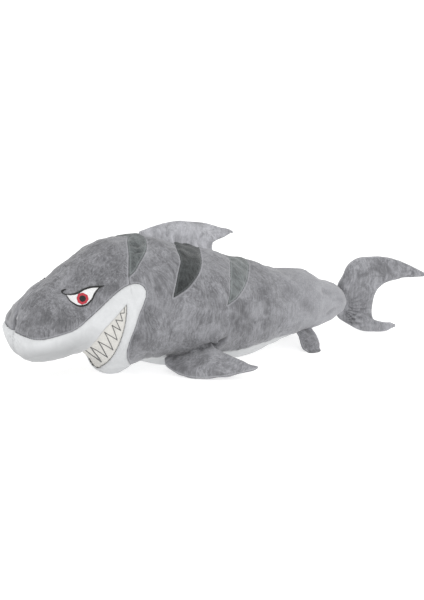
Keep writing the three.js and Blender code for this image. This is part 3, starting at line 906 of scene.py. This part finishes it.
STRIPE_TINT = (0.94, 1.02, 1.03)
MATERIALS = {
    "grey_plush": crushed_plush("grey plush", 98, 156, rear_lift=24),
    "pectoral_plush": crushed_plush("pectoral fin plush", 110, 176, streaks=0.6),
    "tail_plush": crushed_plush("tail fin plush", 107, 171, streaks=0.7),
    "dorsal_plush": crushed_plush("dorsal fin plush", 132, 192, streaks=0.45),
    "head_plush": crushed_plush("head plush", 95, 157, streaks=0.8),
    "stripe_front": crushed_plush("front stripe plush", 70, 126, tint=STRIPE_TINT, streaks=0.35),
    "stripe_middle": crushed_plush("middle stripe plush", 48, 84, tint=STRIPE_TINT, streaks=0.3),
    "stripe_rear": crushed_plush("rear stripe plush", 86, 136, tint=STRIPE_TINT, streaks=0.35),
    "white_plush": white_plush(210, (0.98, 0.995, 1.01), 8),
    "mouth_fabric": mouth_fabric(),
    "eye_white_thread": satin_thread("eye white thread", grey(240), grey(222), 0.5),
    "iris_thread": satin_thread("iris thread", (0.60, 0.035, 0.06, 1), (0.36, 0.015, 0.03, 1), 0.9),
    "black_thread": satin_thread("black thread", grey(26), grey(14), 0.2),
    "teeth_thread": satin_thread("teeth thread", grey(104), grey(78), 1.2),
    "polyester_filling": wadding(),
}


# ---------- torso panels ----------

def build_torso_panels():
    half, zone = cut_torso()
    points = half.points(-1)
    triangles = half.triangles
    normals = vertex_normals(points, triangles)
    normals = unit_rows(normals)
    outward = np.sign((normals * (points - np.array([-100, 0, 120]))).sum())
    normals *= outward
    on_centre = np.abs(points[:, 1]) < 0.01
    normals[on_centre, 1] = 0
    if outward < 0:
        triangles = triangles[:, [0, 2, 1]]
    gaps = seam_gaps(points)
    pieces = {}
    for name in ["head", "side", "white", "mouth", "belly"] + ["stripe_" + name for name in STRIPES]:
        vertex_zone = np.full(len(points), name, dtype=object)
        height = torso_relief(points, vertex_zone, gaps)
        raised = points + normals * height[:, None]
        raised[on_centre, 1] = 0
        raised[:, 2] = np.maximum(raised[:, 2], 0)
        centre_gap = np.where(centre_seam_zone(points, vertex_zone), np.abs(points[:, 1]), NO_SEAM)
        if name in ("mouth", "belly"):
            centre_gap = np.full(len(points), NO_SEAM)
        seam = np.minimum.reduce([gaps[0][0], gaps[1][0], gaps[2][0], centre_gap])
        # Painted shade, kept as a vertex attribute: in the creases and the nose cleft; on the white and belly
        # cloth, on surfaces that face downward and in the valleys of the crumpled nose.
        painted_shade = np.clip(crease_depth(points) / 4.0 + nose_cleft(points), 0, 1)
        if name in ("white", "belly"):
            ahead = np.clip((-340 - points[:, 0]) / 60, 0, 1)
            underside_shade = (0.35 + 0.95 * ahead) * np.clip(-1.6 * normals[:, 2], 0, 1)
            painted_shade = np.maximum(underside_shade, np.clip(-0.35 * crumpled_nose(points), 0, 1))
        pieces[name] = only_used(raised, triangles[zone == name], {"seam": seam, "painted_shade": painted_shade})
    return pieces


def mirrored(points, triangles):
    flipped = points.copy()
    flipped[:, 1] *= -1
    return flipped, triangles[:, [0, 2, 1]]


PANEL_SLOTS = {
    "head": ("head_panel", "head_plush", "head_plush"), "side": ("side_panel", "grey_plush", "grey_plush"),
    "white": ("white_face_panel", "white_plush", "white_plush"),
    "stripe_front": ("stripe_front", "dark_stripe_plush", "stripe_front"),
    "stripe_middle": ("stripe_middle", "dark_stripe_plush", "stripe_middle"),
    "stripe_rear": ("stripe_rear", "dark_stripe_plush", "stripe_rear"),
}


def make_torso():
    panels = build_torso_panels()
    for key, (node, slot, cloth) in PANEL_SLOTS.items():
        points, triangles, extra = panels[key]
        for side in ("left", "right"):
            shape = (points, triangles) if side == "left" else mirrored(points, triangles)
            piece = new_object(f"{node}_{side}_plush", place(shape[0]), shape[1], extra)
            thicken(piece, SHELL)
            finish_piece(piece, cloth, "torso", f"{node}_{side}")
    whole_panels = (("mouth", "mouth_patch", "mouth_fabric"), ("belly", "belly_panel", "white_plush"))
    for key, node, slot in whole_panels:
        points, triangles, extra = panels[key]
        other, other_triangles = mirrored(points, triangles)
        both = np.concatenate([points, other])
        faces = np.concatenate([triangles, other_triangles + len(points)])
        doubled = {key: np.tile(values, 2) for key, values in extra.items()}
        piece = new_object(node + "_cloth", place(both), faces, doubled)
        weld(piece)
        thicken(piece, SHELL)
        finish_piece(piece, slot, "torso", node)


def make_filling():
    xs = station_positions()[::2]
    angles = np.linspace(0, math.pi, 60)
    x = np.repeat(xs, len(angles))
    angle = np.tile(angles, len(xs))
    faces = grid_quads(len(xs), len(angles))
    base = torso_point(x, angle, -1)
    centre_line = np.stack([x, 0 * x, underside(x) + WIDEST_SHARE * (back(x) - underside(x))], 1)
    inward = centre_line - base
    length = np.maximum(np.linalg.norm(inward, axis=1, keepdims=True), 1e-6)
    depth = np.minimum(11 + 1.5 * soft_noise(base, 45, 8), 0.6 * length[:, 0])
    inner = base + inward / length * depth[:, None]
    inner[:, 0] = np.clip(inner[:, 0], NOSE_X + 12, STOCK_END_X - 10)
    inner[np.isin(angle, (0, math.pi)), 1] = 0
    inner[:, 2] = np.maximum(inner[:, 2], 4)
    other = inner.copy()
    other[:, 1] *= -1
    all_faces = np.concatenate([faces, faces[:, ::-1] + len(inner)])
    piece = new_object("torso_wadding", place(np.concatenate([inner, other])), all_faces)
    weld(piece)
    close_holes(piece)
    finish_piece(piece, "polyester_filling", "torso", "torso_filling")


# ---------- embroidery ----------

def flank_point(x, z, side, lift):
    """Point lifted above the sewn surface of the flank at side-view place (x, z)."""
    angle = flank_angle(x, z)
    base = torso_point(x, angle, -1)
    normal = torso_normal(x, angle, -1)
    zone = np.where(mouth_field(base) > 0, "mouth", "head").astype(object)
    height = torso_relief(base, zone, seam_gaps(base))
    point = base + normal * (height + lift)[:, None]
    point[:, 1] *= -side
    return point


def filled_outline(outline, spacing):
    """Triangulated patch inside a closed side-view outline."""
    low, high = outline.min(0), outline.max(0)
    xs = np.arange(low[0], high[0], spacing)
    zs = np.arange(low[1], high[1], spacing)
    inner = np.array([(x, z) for x in xs for z in zs])
    inner = inner[distance_inside(inner, outline) > 0.45 * spacing]
    count = len(outline)
    edges = [(i, (i + 1) % count) for i in range(count)]
    corners = [Vector(p) for p in np.concatenate([outline, inner])]
    verts, _, faces, _, _, _ = delaunay_2d_cdt(corners, edges, [], 1, 1e-5)
    return np.array([tuple(v) for v in verts]), [list(f) for f in faces]


def stitched_patch(name, outline, lift, crown, side, spacing):
    """Patch of satin stitches: raised in the middle, thin at the edge, closed underneath."""
    flat, faces = filled_outline(outline, spacing)
    edge = np.maximum(distance_inside(flat, outline), 0)
    rise = lift + crown * np.sqrt(np.clip(edge / STITCH_EDGE, 0, 1))
    top = flank_point(flat[:, 0], flat[:, 1], side, rise)
    piece = new_object(name, place(top), faces)
    face_towards(piece, (0, side, 0))
    thicken(piece, STITCH_BACKING)
    return piece


def eye_shape():
    upper = smooth_path(EYE_UPPER, EYE_STEP)
    lower = smooth_path(EYE_UPPER[-1:] + EYE_LOWER + EYE_UPPER[:1], EYE_STEP)
    return np.concatenate([upper, lower[1:-1]])


def lobed_iris(radius, wobble, turn):
    """Outline in side view of a lobed disc that lies on the slope of the cheek."""
    angle = np.linspace(0, 2 * math.pi, 60, endpoint=False)
    reach = radius * (1 + wobble * np.cos(8 * angle + turn) + 0.6 * wobble * np.sin(3 * angle + 2 * turn))
    along = reach * np.cos(angle)
    up = reach * np.sin(angle)
    return np.stack([IRIS_CENTRE[0] + along + IRIS_LEAN * up, IRIS_CENTRE[1] + up], 1)


# Parts of the eye: piece, outline, lift off the cheek, crown of the stitches, stitch spacing and thread.
EYE_PARTS = [
    ("white", eye_shape(), 0.2, 0.7, 1.6, "eye_white_thread"),
    ("iris", lobed_iris(9.8, 0.035, 0.6), 0.9, 0.7, 1.6, "iris_thread"),
    ("pupil", lobed_iris(5.5, 0.02, 0.2), 1.6, 0.6, 1.2, "black_thread"),
]


def make_eye(side, name):
    for part, outline, lift, crown, spacing, thread in EYE_PARTS:
        piece = stitched_patch(f"eye_{part}_{name}_stitching", outline, lift, crown, side, spacing)
        finish_stitching(piece, thread, f"eye_{part}_{name}")
    upper = smooth_path([(-401, 181.6)] + EYE_UPPER[:-1] + [(-343, 198), (-332, 198)], EYE_STEP)
    lower = smooth_path([(-335, 197.5)] + EYE_UPPER[-1:] + EYE_LOWER + [(-401, 182)], EYE_STEP)
    hook = smooth_path(BROW_HOOK, EYE_STEP)
    lines = []
    for path, thick in ((upper, LID_LINE), (lower, LID_LINE), (hook, HOOK_LINE)):
        t = np.linspace(0, 1, len(path))
        full = np.minimum(np.sin(math.pi * np.clip(t, 0.02, 0.98)) * 1.6, 1)
        lines.append(ribbon(f"eye_line_part_{name}", path, thick * (0.35 + 0.65 * full), 0.9, 0.8, side))
    piece = join(lines, f"eye_outline_{name}_stitching")
    finish_stitching(piece, "black_thread", f"eye_outline_{name}")


def ribbon(name, path, widths, lift, crown, side, across=7):
    """Closed raised band of stitches along a side-view path."""
    ahead = unit_rows(np.gradient(path, axis=0))
    sideways = np.stack([-ahead[:, 1], ahead[:, 0]], 1)
    share = np.linspace(-1, 1, across)
    half = (widths / 2)[:, None, None]
    flat = path[:, None, :] + sideways[:, None, :] * share[None, :, None] * half
    rise = lift + crown * np.sqrt(np.clip(1 - share ** 2, 0, 1))
    flat = flat.reshape(-1, 2)
    top = flank_point(flat[:, 0], flat[:, 1], side, np.tile(rise, len(path)))
    low = flank_point(flat[:, 0], flat[:, 1], side, np.full(len(flat), -0.4))
    quads = grid_quads(len(path), across)
    under = quads[:, ::-1] + len(flat)
    grid = np.arange(len(flat)).reshape(-1, across)
    loop = list(grid[:, 0]) + list(grid[-1, 1:]) + list(grid[-2::-1, -1]) + list(grid[0, -2:0:-1])
    rim = [[j, i, i + len(flat), j + len(flat)] for i, j in zip(loop, loop[1:] + loop[:1])]
    faces = list(quads) + list(under) + rim
    piece = new_object(name, place(np.concatenate([top, low])), faces)
    point_faces_out(piece)
    return piece


def join(parts, name):
    offset = 0
    points, faces = [], []
    for part in parts:
        points += [tuple(v.co) for v in part.data.vertices]
        faces += [[i + offset for i in p.vertices] for p in part.data.polygons]
        offset += len(part.data.vertices)
        bpy.data.objects.remove(part)
    return new_object(name, points, faces)


def make_teeth(side, name):
    parts = []
    corners = [np.array(p, float) for p in TEETH]
    for a, b in zip(corners, corners[1:]):
        steps = max(int(np.linalg.norm(b - a) / 2), 2)
        path = a + (b - a) * np.linspace(-0.02, 1.02, steps)[:, None]
        parts.append(ribbon("stitch_line", path, np.full(steps, TOOTH_LINE), 0.5, 0.5, side, across=5))
    piece = join(parts, f"teeth_stitching_{name}_thread")
    finish_stitching(piece, "teeth_thread", f"teeth_stitching_{name}")


# ---------- fins ----------

DORSAL = [
    ((-6, -13), (163, -10), 4), ((-9, -3), (163, 0), 5), ((-9, 5), (164, 6), 7), ((3, 12), (167, 13), 11),
    ((22, 22), (180, 22), 13), ((48, 34), (195, 30), 12), ((84, 46), (203, 36), 9.5),
    ((142, 54), (210, 41), 6), ((188, 51), (213, 44), 3.2),
]
PECTORAL = [
    ((-2, -10), (98, -10), 5), ((-4, 1), (100, 1), 6), ((-4, 10), (104, 10), 8), ((4, 26), (112, 22), 12),
    ((20, 48), (124, 38), 15), ((50, 70), (138, 56), 14), ((88, 84), (149, 70), 11),
    ((124, 91), (157, 80), 7), ((152, 94), (166, 88), 3.4),
]
PELVIC = [
    ((-3, -8), (40, -8), 3.4), ((-4, 1), (40, 1), 4), ((-7, 8), (40, 8), 5), ((-12, 21), (37, 21), 6.5),
    ((-14, 33), (32, 34), 5.5), ((-10, 43), (25, 43), 3),
]
TAIL = [
    ((178, 131), (172, 123), 3.4), ((160, 141), (150, 122), 7), ((132, 155), (128, 122), 10.5),
    ((106, 165), (110, 118), 13), ((78, 171), (96, 115), 14), ((48, 172), (85, 111), 14),
    ((22, 169), (77, 105), 13.5), ((2, 155), (70, 98), 12.5), ((-9, 134), (65, 87), 12),
    ((-20, 112), (62, 76), 12),
    ((-18, 92), (60, 63), 12), ((-18, 62), (59, 50), 12), ((-19, 40), (61, 36), 12), ((6, 21), (66, 29), 12),
    ((34, 7), (78, 25), 11), ((66, 2), (92, 22), 9), ((92, 2), (103, 21), 6.5), ((106, 8), (111, 17), 3.4),
]
DORSAL_ORIGIN = np.array([-205, 0, 269.8])
DORSAL_AXIS = np.array([161, 0, -43]) / math.hypot(161, 43)
DORSAL_LEAN = math.radians(35)
PECTORAL_ORIGIN = np.array([-192, -76, 22.0])
PECTORAL_AXIS = np.array([0.8935, -0.3496, 0.2817])
PECTORAL_REACH = np.array([-0.1947, -0.867, -0.4587])
PELVIC_ORIGIN = np.array([133, -56, 30.0])
PELVIC_AXIS = np.array([0.9747, 0.1999, 0.0999])
PELVIC_REACH = np.array([0.2169, -0.7376, -0.6395])
TAIL_ORIGIN = np.array([286.5, 0, 0.0])
TAIL_YAW = math.radians(-18)

# The cloth simulation that fills out a fin, and how much of its movement is kept.
CLOTH_SLACK = 0.03
CLOTH_PRESSURE = 5
CLOTH_FRAMES = 20
CLOTH_CAP = 6.0
CLOTH_SMOOTHING = 2
CLOTH_SHARE = (0.4, 0.4, 0.6)
LEAST_THICKNESS = 0.65
SEWN_ROWS = 5

# Wadding in a fin: its size against the cloth, the rows left out at each end, and no limit beside the body.
FILLING_SHARE = np.array([0.84, 0.97, 0.42])
FILLING_ENDS = 14
ANYWHERE = (-100, -100)

# Least heights of the fins above the floor, in millimetres.
UPPER_FLOOR = 1.7
LOWER_FLOOR = 0.3
FILLING_FLOOR = 1.5


def fin_axes(axis, reach):
    axis = axis / np.linalg.norm(axis)
    outward = reach - (reach @ axis) * axis
    outward /= np.linalg.norm(outward)
    return axis, outward, np.cross(axis, outward)


def capped(lead, trail, half, reach):
    """Adds rows that round off the last row of a fin."""
    step = lead[-1] + trail[-1] - lead[-2] - trail[-2]
    step /= np.linalg.norm(step)
    middle = (lead[-1] + trail[-1]) / 2
    radius = (lead[-1] - trail[-1]) / 2
    turn = np.radians(np.linspace(0, 88, 8)[1:])
    forward = middle + step * np.linalg.norm(radius) * reach * np.sin(turn)[:, None]
    across = radius * np.cos(turn)[:, None]
    return (np.vstack([lead, forward + across]), np.vstack([trail, forward - across]),
            np.append(half, half[-1] * np.cos(turn) ** 0.6))


def fin_sheets(stations, relief, two_tips=False, rows_between=8, across=60):
    """Two sheets of the pillow, as rows of points along the hinge, away from it and across the fin."""
    lead = smooth_rows([s[0] for s in stations], rows_between)
    trail = smooth_rows([s[1] for s in stations], rows_between)
    half = smooth_rows([(s[2], 0) for s in stations], rows_between)[:, 0]
    lead, trail, half = capped(lead, trail, half, 1.0)
    if two_tips:
        lead, trail, half = capped(lead[::-1], trail[::-1], half[::-1], 1.0)
        lead, trail, half = lead[::-1], trail[::-1], half[::-1]
    angles = np.linspace(0, math.pi, across)
    out = np.cos(angles)
    thick = np.sin(angles) ** 0.8
    middle = (lead + trail) / 2
    radius = (lead - trail) / 2
    flat = middle[:, None, :] + radius[:, None, :] * out[None, :, None]
    height = half[:, None] * thick[None, :]
    # Each sheet also carries painted shade from the relief, kept for its material.
    sheets, folds = [], []
    for sign in (1, -1):
        rise, painted_shade = relief(flat, sign)
        bulge = height + rise * np.clip(thick[None, :] * 1.6, 0, 1)
        sheets.append(np.concatenate([flat, (sign * bulge)[:, :, None]], axis=2))
        folds.append(painted_shade.reshape(-1))
    return sheets, folds, len(lead), across


def smooth_rows(points, between):
    points = [np.array(p, float) for p in points]
    ring = [2 * points[0] - points[1]] + points + [2 * points[-1] - points[-2]]
    rows = []
    for a, b, c, d in zip(ring, ring[1:], ring[2:], ring[3:]):
        for t in np.linspace(0, 1, between, endpoint=False):
            rows.append(0.5 * (2 * b + (c - a) * t + (2 * a - 5 * b + 4 * c - d) * t ** 2
                               + (3 * b - a - 3 * c + d) * t ** 3))
    rows.append(points[-1])
    return np.array(rows)


def stuffed_fin(stations, relief, two_tips=False):
    """A sewn fin filled out by a cloth simulation: its seam and base stay put and slack cloth swells."""
    sheets, folds, rows, across = fin_sheets(stations, relief, two_tips)
    start = np.concatenate([sheet.reshape(-1, 3) for sheet in sheets])
    front = np.arange(rows * across).reshape(rows, across)
    rear = front + rows * across
    unused = np.concatenate([rear[:, 0], rear[:, -1]])
    rear[:, 0] = front[:, 0]
    rear[:, -1] = front[:, -1]
    faces = []
    for grid in (front, rear[:, ::-1]):
        corners = [grid[:-1, :-1], grid[:-1, 1:], grid[1:, 1:], grid[1:, :-1]]
        faces += list(np.stack(corners, -1).reshape(-1, 4))
    pillow = new_object("fin_pillow", start * TO_METRES, faces)
    sewn = pillow.vertex_groups.new(name="sewn")
    ends = [end.ravel() for grid in (front, rear) for end in (grid[:SEWN_ROWS], grid[-SEWN_ROWS:])]
    pinned = np.unique(np.concatenate([front[:, 0], front[:, -1], unused] + ends))
    sewn.add([int(i) for i in pinned], 1.0, "REPLACE")
    modifier = pillow.modifiers.new("cloth", "CLOTH")
    settings = modifier.settings
    settings.effector_weights.gravity = 0
    settings.use_pressure = True
    settings.uniform_pressure_force = CLOTH_PRESSURE
    settings.vertex_group_mass = "sewn"
    settings.shrink_min = -CLOTH_SLACK
    modifier.collision_settings.use_collision = False
    for frame_number in range(1, CLOTH_FRAMES + 1):
        bpy.context.scene.frame_set(frame_number)
    apply_modifiers(pillow)
    settled = np.array([tuple(v.co) for v in pillow.data.vertices]) / TO_METRES
    bpy.data.objects.remove(pillow)
    bpy.context.scene.frame_set(1)
    blown = []
    for sheet, grid, sign in zip(sheets, (front, rear), (1, -1)):
        move = settled[grid] - sheet
        move *= np.minimum(1, CLOTH_CAP / np.maximum(np.linalg.norm(move, axis=2, keepdims=True), 1e-6))
        for _ in range(CLOTH_SMOOTHING):
            beside = move[:-2, 1:-1] + move[2:, 1:-1] + move[1:-1, :-2] + move[1:-1, 2:]
            move[1:-1, 1:-1] = (2 * move[1:-1, 1:-1] + beside) / 6
        moved = sheet + move * CLOTH_SHARE
        least = LEAST_THICKNESS * sign * sheet[:, :, 2]
        moved[:, :, 2] = sign * np.maximum(sign * moved[:, :, 2], least)
        blown.append(moved)
    return blown, folds, rows, across


def in_place(local, origin, axes, side, floor):
    """A fin's own points carried to the body, mirrored for the right side and kept above the floor."""
    axis, outward, through = axes
    points = origin + local[:, :1] * axis + local[:, 1:2] * outward + local[:, 2:] * through
    points[:, 1] *= side
    points[:, 2] = np.maximum(points[:, 2], floor)
    return points


def build_fin(names, pillow, origin, axes, cloth, side=1, body="", blend=None, filling="", clear=ANYWHERE):
    sheets, folds, rows, across = pillow
    through = axes[2]
    start, end = place(np.array(blend))
    quads = grid_quads(rows, across)
    for sheet, painted_shade, (name, node), sign in zip(sheets, folds, names, (1, -1)):
        floor = UPPER_FLOOR if node.endswith("upper") else LOWER_FLOOR
        points = in_place(sheet.reshape(-1, 3), origin, axes, side, floor)
        edge = np.linalg.norm(sheet - sheet[:, :1], axis=2)
        other = np.linalg.norm(sheet - sheet[:, -1:], axis=2)
        seam = np.minimum(edge, other).reshape(-1)
        # The painted shade goes on the cloth as a vertex attribute.
        piece = new_object(name, place(points), quads, {"seam": seam, "painted_shade": painted_shade})
        face_towards(piece, through * np.array([1, side, 1]) * sign)
        weld(piece, FIN_GAP)
        thicken(piece, FIN_SHELL)
        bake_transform(piece)
        finish_piece(piece, cloth, None, node)
    inner = fin_filling(sheets, clear, origin, axes, side, filling)
    finish_piece(inner, "polyester_filling", body, filling)


def fin_filling(sheets, clear, origin, axes, side, name):
    """Wadding inside the fin, kept at least the clear distances along and away from the hinge."""
    upper, lower = (sheet[FILLING_ENDS:-FILLING_ENDS:2, ::3] for sheet in sheets)
    off_body = upper[:, :, 1].mean(1) > clear[1]
    upper, lower = upper[off_body], lower[off_body]
    centre = (upper + lower) / 2
    middle = centre.mean(1, keepdims=True)
    around = np.concatenate([upper, lower[:, ::-1]], axis=1)
    ring = middle + (around - middle) * FILLING_SHARE
    local = ring.reshape(-1, 3)
    local[:, 0] = np.maximum(local[:, 0], clear[0])
    points = in_place(local, origin, axes, side, FILLING_FLOOR)
    grid = np.arange(len(local)).reshape(-1, ring.shape[1])
    after = np.roll(grid, -1, axis=1)
    faces = np.stack([grid[:-1], after[:-1], after[1:], grid[1:]], -1).reshape(-1, 4)
    piece = new_object(name + "_wadding", place(points), faces)
    weld(piece, FIN_GAP)
    close_holes(piece)
    return piece


def sheet_points(flat, sign):
    flat = flat.reshape(-1, 2)
    return np.concatenate([flat, np.full((len(flat), 1), 40.0 * sign)], 1)


def gathered(phase):
    """Narrow valleys between rounded folds, from -1 in the valley to 1 on the crest."""
    wave = np.sin(phase)
    return np.sign(wave) * np.abs(wave) ** 0.8 - 0.25 * np.cos(2 * phase)


def fin_relief(seed, root_folds, fold_length, spread):
    """Stuffed lumps and the gathers that run away from the sewn base, with painted shade in the valleys of
    the gathers.
    """
    def relief(flat, sign):
        points = sheet_points(flat, sign)
        lumps = 1.0 * soft_noise(points, 60, seed) + 0.6 * soft_noise(points, 24, seed + 1)
        away = np.maximum(points[:, 1], 0)
        folds = gathered(points[:, 0] / spread + 1.4 * soft_noise(points, 60, seed + 2))
        folds *= np.exp(-away / fold_length) * np.clip(0.6 + 0.5 * soft_noise(points, 40, seed + 3), 0, 1)
        lumps += root_folds * folds
        return lumps.reshape(flat.shape[:2]), np.clip(-folds, 0, 1)
    return relief


def tail_relief(flat, sign):
    points = sheet_points(flat, sign)
    lumps = 1.2 * soft_noise(points, 70, 31) + 0.6 * soft_noise(points, 24, 32)
    # Painted shade in the valleys of the gathers.
    shade = np.zeros(len(points))
    for centre, count, near, far, low, high, depth in TAIL_GATHERS:
        root = points[:, :2] - np.array(centre)
        away = np.linalg.norm(root, axis=1)
        angle = np.degrees(np.arctan2(root[:, 1], root[:, 0]))
        wave = gathered(np.radians(angle) * count + 0.8 * soft_noise(points, 46, 33))
        reach = np.clip((away - 0.4 * near) / near, 0, 1) * np.exp(-((away / far) ** 2))
        reach *= np.clip((angle - low) / 12, 0, 1) * np.clip((high - angle) / 12, 0, 1)
        lumps += depth * wave * reach
        shade += np.clip(-wave, 0, 1) * reach
    return lumps.reshape(flat.shape[:2]), np.clip(shade, 0, 1)


# Fans of gathers at the tail root: centre, folds per turn, near and far reach, from and to angle, depth.
TAIL_GATHERS = [
    ((-14, 62), 28, 16, 62, -62, 42, 3.6), ((-12, 30), 22, 16, 54, -25, 40, 2.8),
    ((92, 128), 18, 12, 30, 120, 200, 1.4),
]


def make_fins():
    up = np.array([-DORSAL_AXIS[2], 0, DORSAL_AXIS[0]])
    reach = up * math.cos(DORSAL_LEAN) + np.array([0, math.sin(DORSAL_LEAN), 0])
    axes = fin_axes(DORSAL_AXIS, reach)
    middle = DORSAL_ORIGIN + 80 * axes[0]
    build_fin(
        [("dorsal_fin_left_plush", "dorsal_fin_panel_left"),
         ("dorsal_fin_right_plush", "dorsal_fin_panel_right")],
        stuffed_fin(DORSAL, fin_relief(11, 2.0, 18, 4.6)), DORSAL_ORIGIN, axes,
        "dorsal_plush", 1, "dorsal_fin", (middle - 2 * axes[1], middle + 12 * axes[1]),
        "dorsal_fin_filling", clear=(ANYWHERE[0], 12),
    )
    # Fin, pillow, origin, axes, cloth, middle of the hinge, and a distance into the fin that build_fin takes
    # but does not use.
    side_fins = [
        ("pectoral_fin", stuffed_fin(PECTORAL, fin_relief(17, 1.5, 16, 4.6)), PECTORAL_ORIGIN,
         fin_axes(PECTORAL_AXIS, PECTORAL_REACH), "pectoral_plush", 50, 14),
        ("pelvic_fin", stuffed_fin(PELVIC, fin_relief(23, 0.5, 10, 4.0)), PELVIC_ORIGIN,
         fin_axes(PELVIC_AXIS, PELVIC_REACH), "head_plush", 18, 8),
    ]
    for side, name in ((1, "left"), (-1, "right")):
        mirror = np.array([1, side, 1])
        for fin, pillow, origin, axes, cloth, centre, bend in side_fins:
            middle = origin + centre * axes[0]
            whole = f"{fin}_{name}"
            build_fin(
                [(whole + "_under_plush", whole + "_lower"), (whole + "_top_plush", whole + "_upper")],
                pillow, origin, axes, cloth, side, whole,
                ((middle - 2 * axes[1]) * mirror, (middle + bend * axes[1]) * mirror), whole + "_filling",
            )
    rearward = np.array([math.cos(TAIL_YAW), math.sin(TAIL_YAW), 0])
    axes = (rearward, np.array([0, 0, 1.0]), np.cross(rearward, [0, 0, 1.0]))
    middle = TAIL_ORIGIN + np.array([0, 0, 85])
    build_fin(
        [("tail_fin_left_plush", "tail_fin_panel_left"), ("tail_fin_right_plush", "tail_fin_panel_right")],
        stuffed_fin(TAIL, tail_relief, two_tips=True), TAIL_ORIGIN, axes, "tail_plush", 1, "tail_fin",
        (middle - 8 * rearward, middle + 16 * rearward), "tail_fin_filling", clear=(12, ANYWHERE[1]),
    )


# ---------- light, floor and camera ----------

def plain_material(name, colour, roughness, glow=0.0):
    material = bpy.data.materials.new(name)
    material.use_nodes = True
    shader = material.node_tree.nodes["Principled BSDF"]
    socket(shader, "Base Color", colour)
    socket(shader, "Roughness", roughness)
    socket(shader, "Emission Color", (1, 1, 1, 1))
    socket(shader, "Emission Strength", glow)
    return material


def make_stage():
    size = 60.0
    points = [(-size, -size, 0), (size, -size, 0), (size, size, 0), (-size, size, 0)]
    floor = new_object("studio_floor", points, [(0, 1, 2, 3)], smooth=False)
    floor.data.materials.append(plain_material("pale floor", (0.6, 0.6, 0.6, 1), 0.9, glow=0.62))
    world = bpy.data.worlds.new("studio")
    world.use_nodes = True
    background = world.node_tree.nodes["Background"]
    socket(background, "Color", (1, 1, 1, 1))
    socket(background, "Strength", 1.02)
    bpy.context.scene.world = world


def area_light(name, place_at, target, size, power):
    light = bpy.data.lights.new(name, "AREA")
    light.shape = "DISK"
    light.size = size
    light.energy = power
    lamp = bpy.data.objects.new(name, light)
    bpy.context.scene.collection.objects.link(lamp)
    lamp.location = place_at
    lamp.rotation_mode = "QUATERNION"
    lamp.rotation_quaternion = (Vector(target) - Vector(place_at)).to_track_quat("-Z", "Y")


def make_lights():
    area_light("key", (-0.9, -2.2, 2.2), (0, 0, 0.1), 1.8, 16)
    area_light("fill", (1.8, -1.8, 1.4), (0, 0, 0.1), 1.8, 5)


def make_camera():
    azimuth, elevation = math.radians(-28), math.radians(14)
    distance = 3.0
    target = Vector((-0.031, 0, 0.116))
    level = math.cos(elevation)
    back_vector = Vector((math.sin(azimuth) * level, -math.cos(azimuth) * level, math.sin(elevation)))
    lens = bpy.data.cameras.new("camera")
    lens.sensor_width = 36
    lens.lens = 86.2
    camera = bpy.data.objects.new("camera", lens)
    bpy.context.scene.collection.objects.link(camera)
    camera.location = target + back_vector * distance
    camera.rotation_mode = "QUATERNION"
    camera.rotation_quaternion = (-back_vector).to_track_quat("-Z", "Y")
    bpy.context.scene.camera = camera


make_torso()
make_filling()
for eye_side, eye_name in ((-1, "left"), (1, "right")):
    make_eye(eye_side, eye_name)
    make_teeth(eye_side, eye_name)
make_fins()
make_stage()
make_lights()
make_camera()
bpy.context.scene.view_settings.view_transform = "Standard"
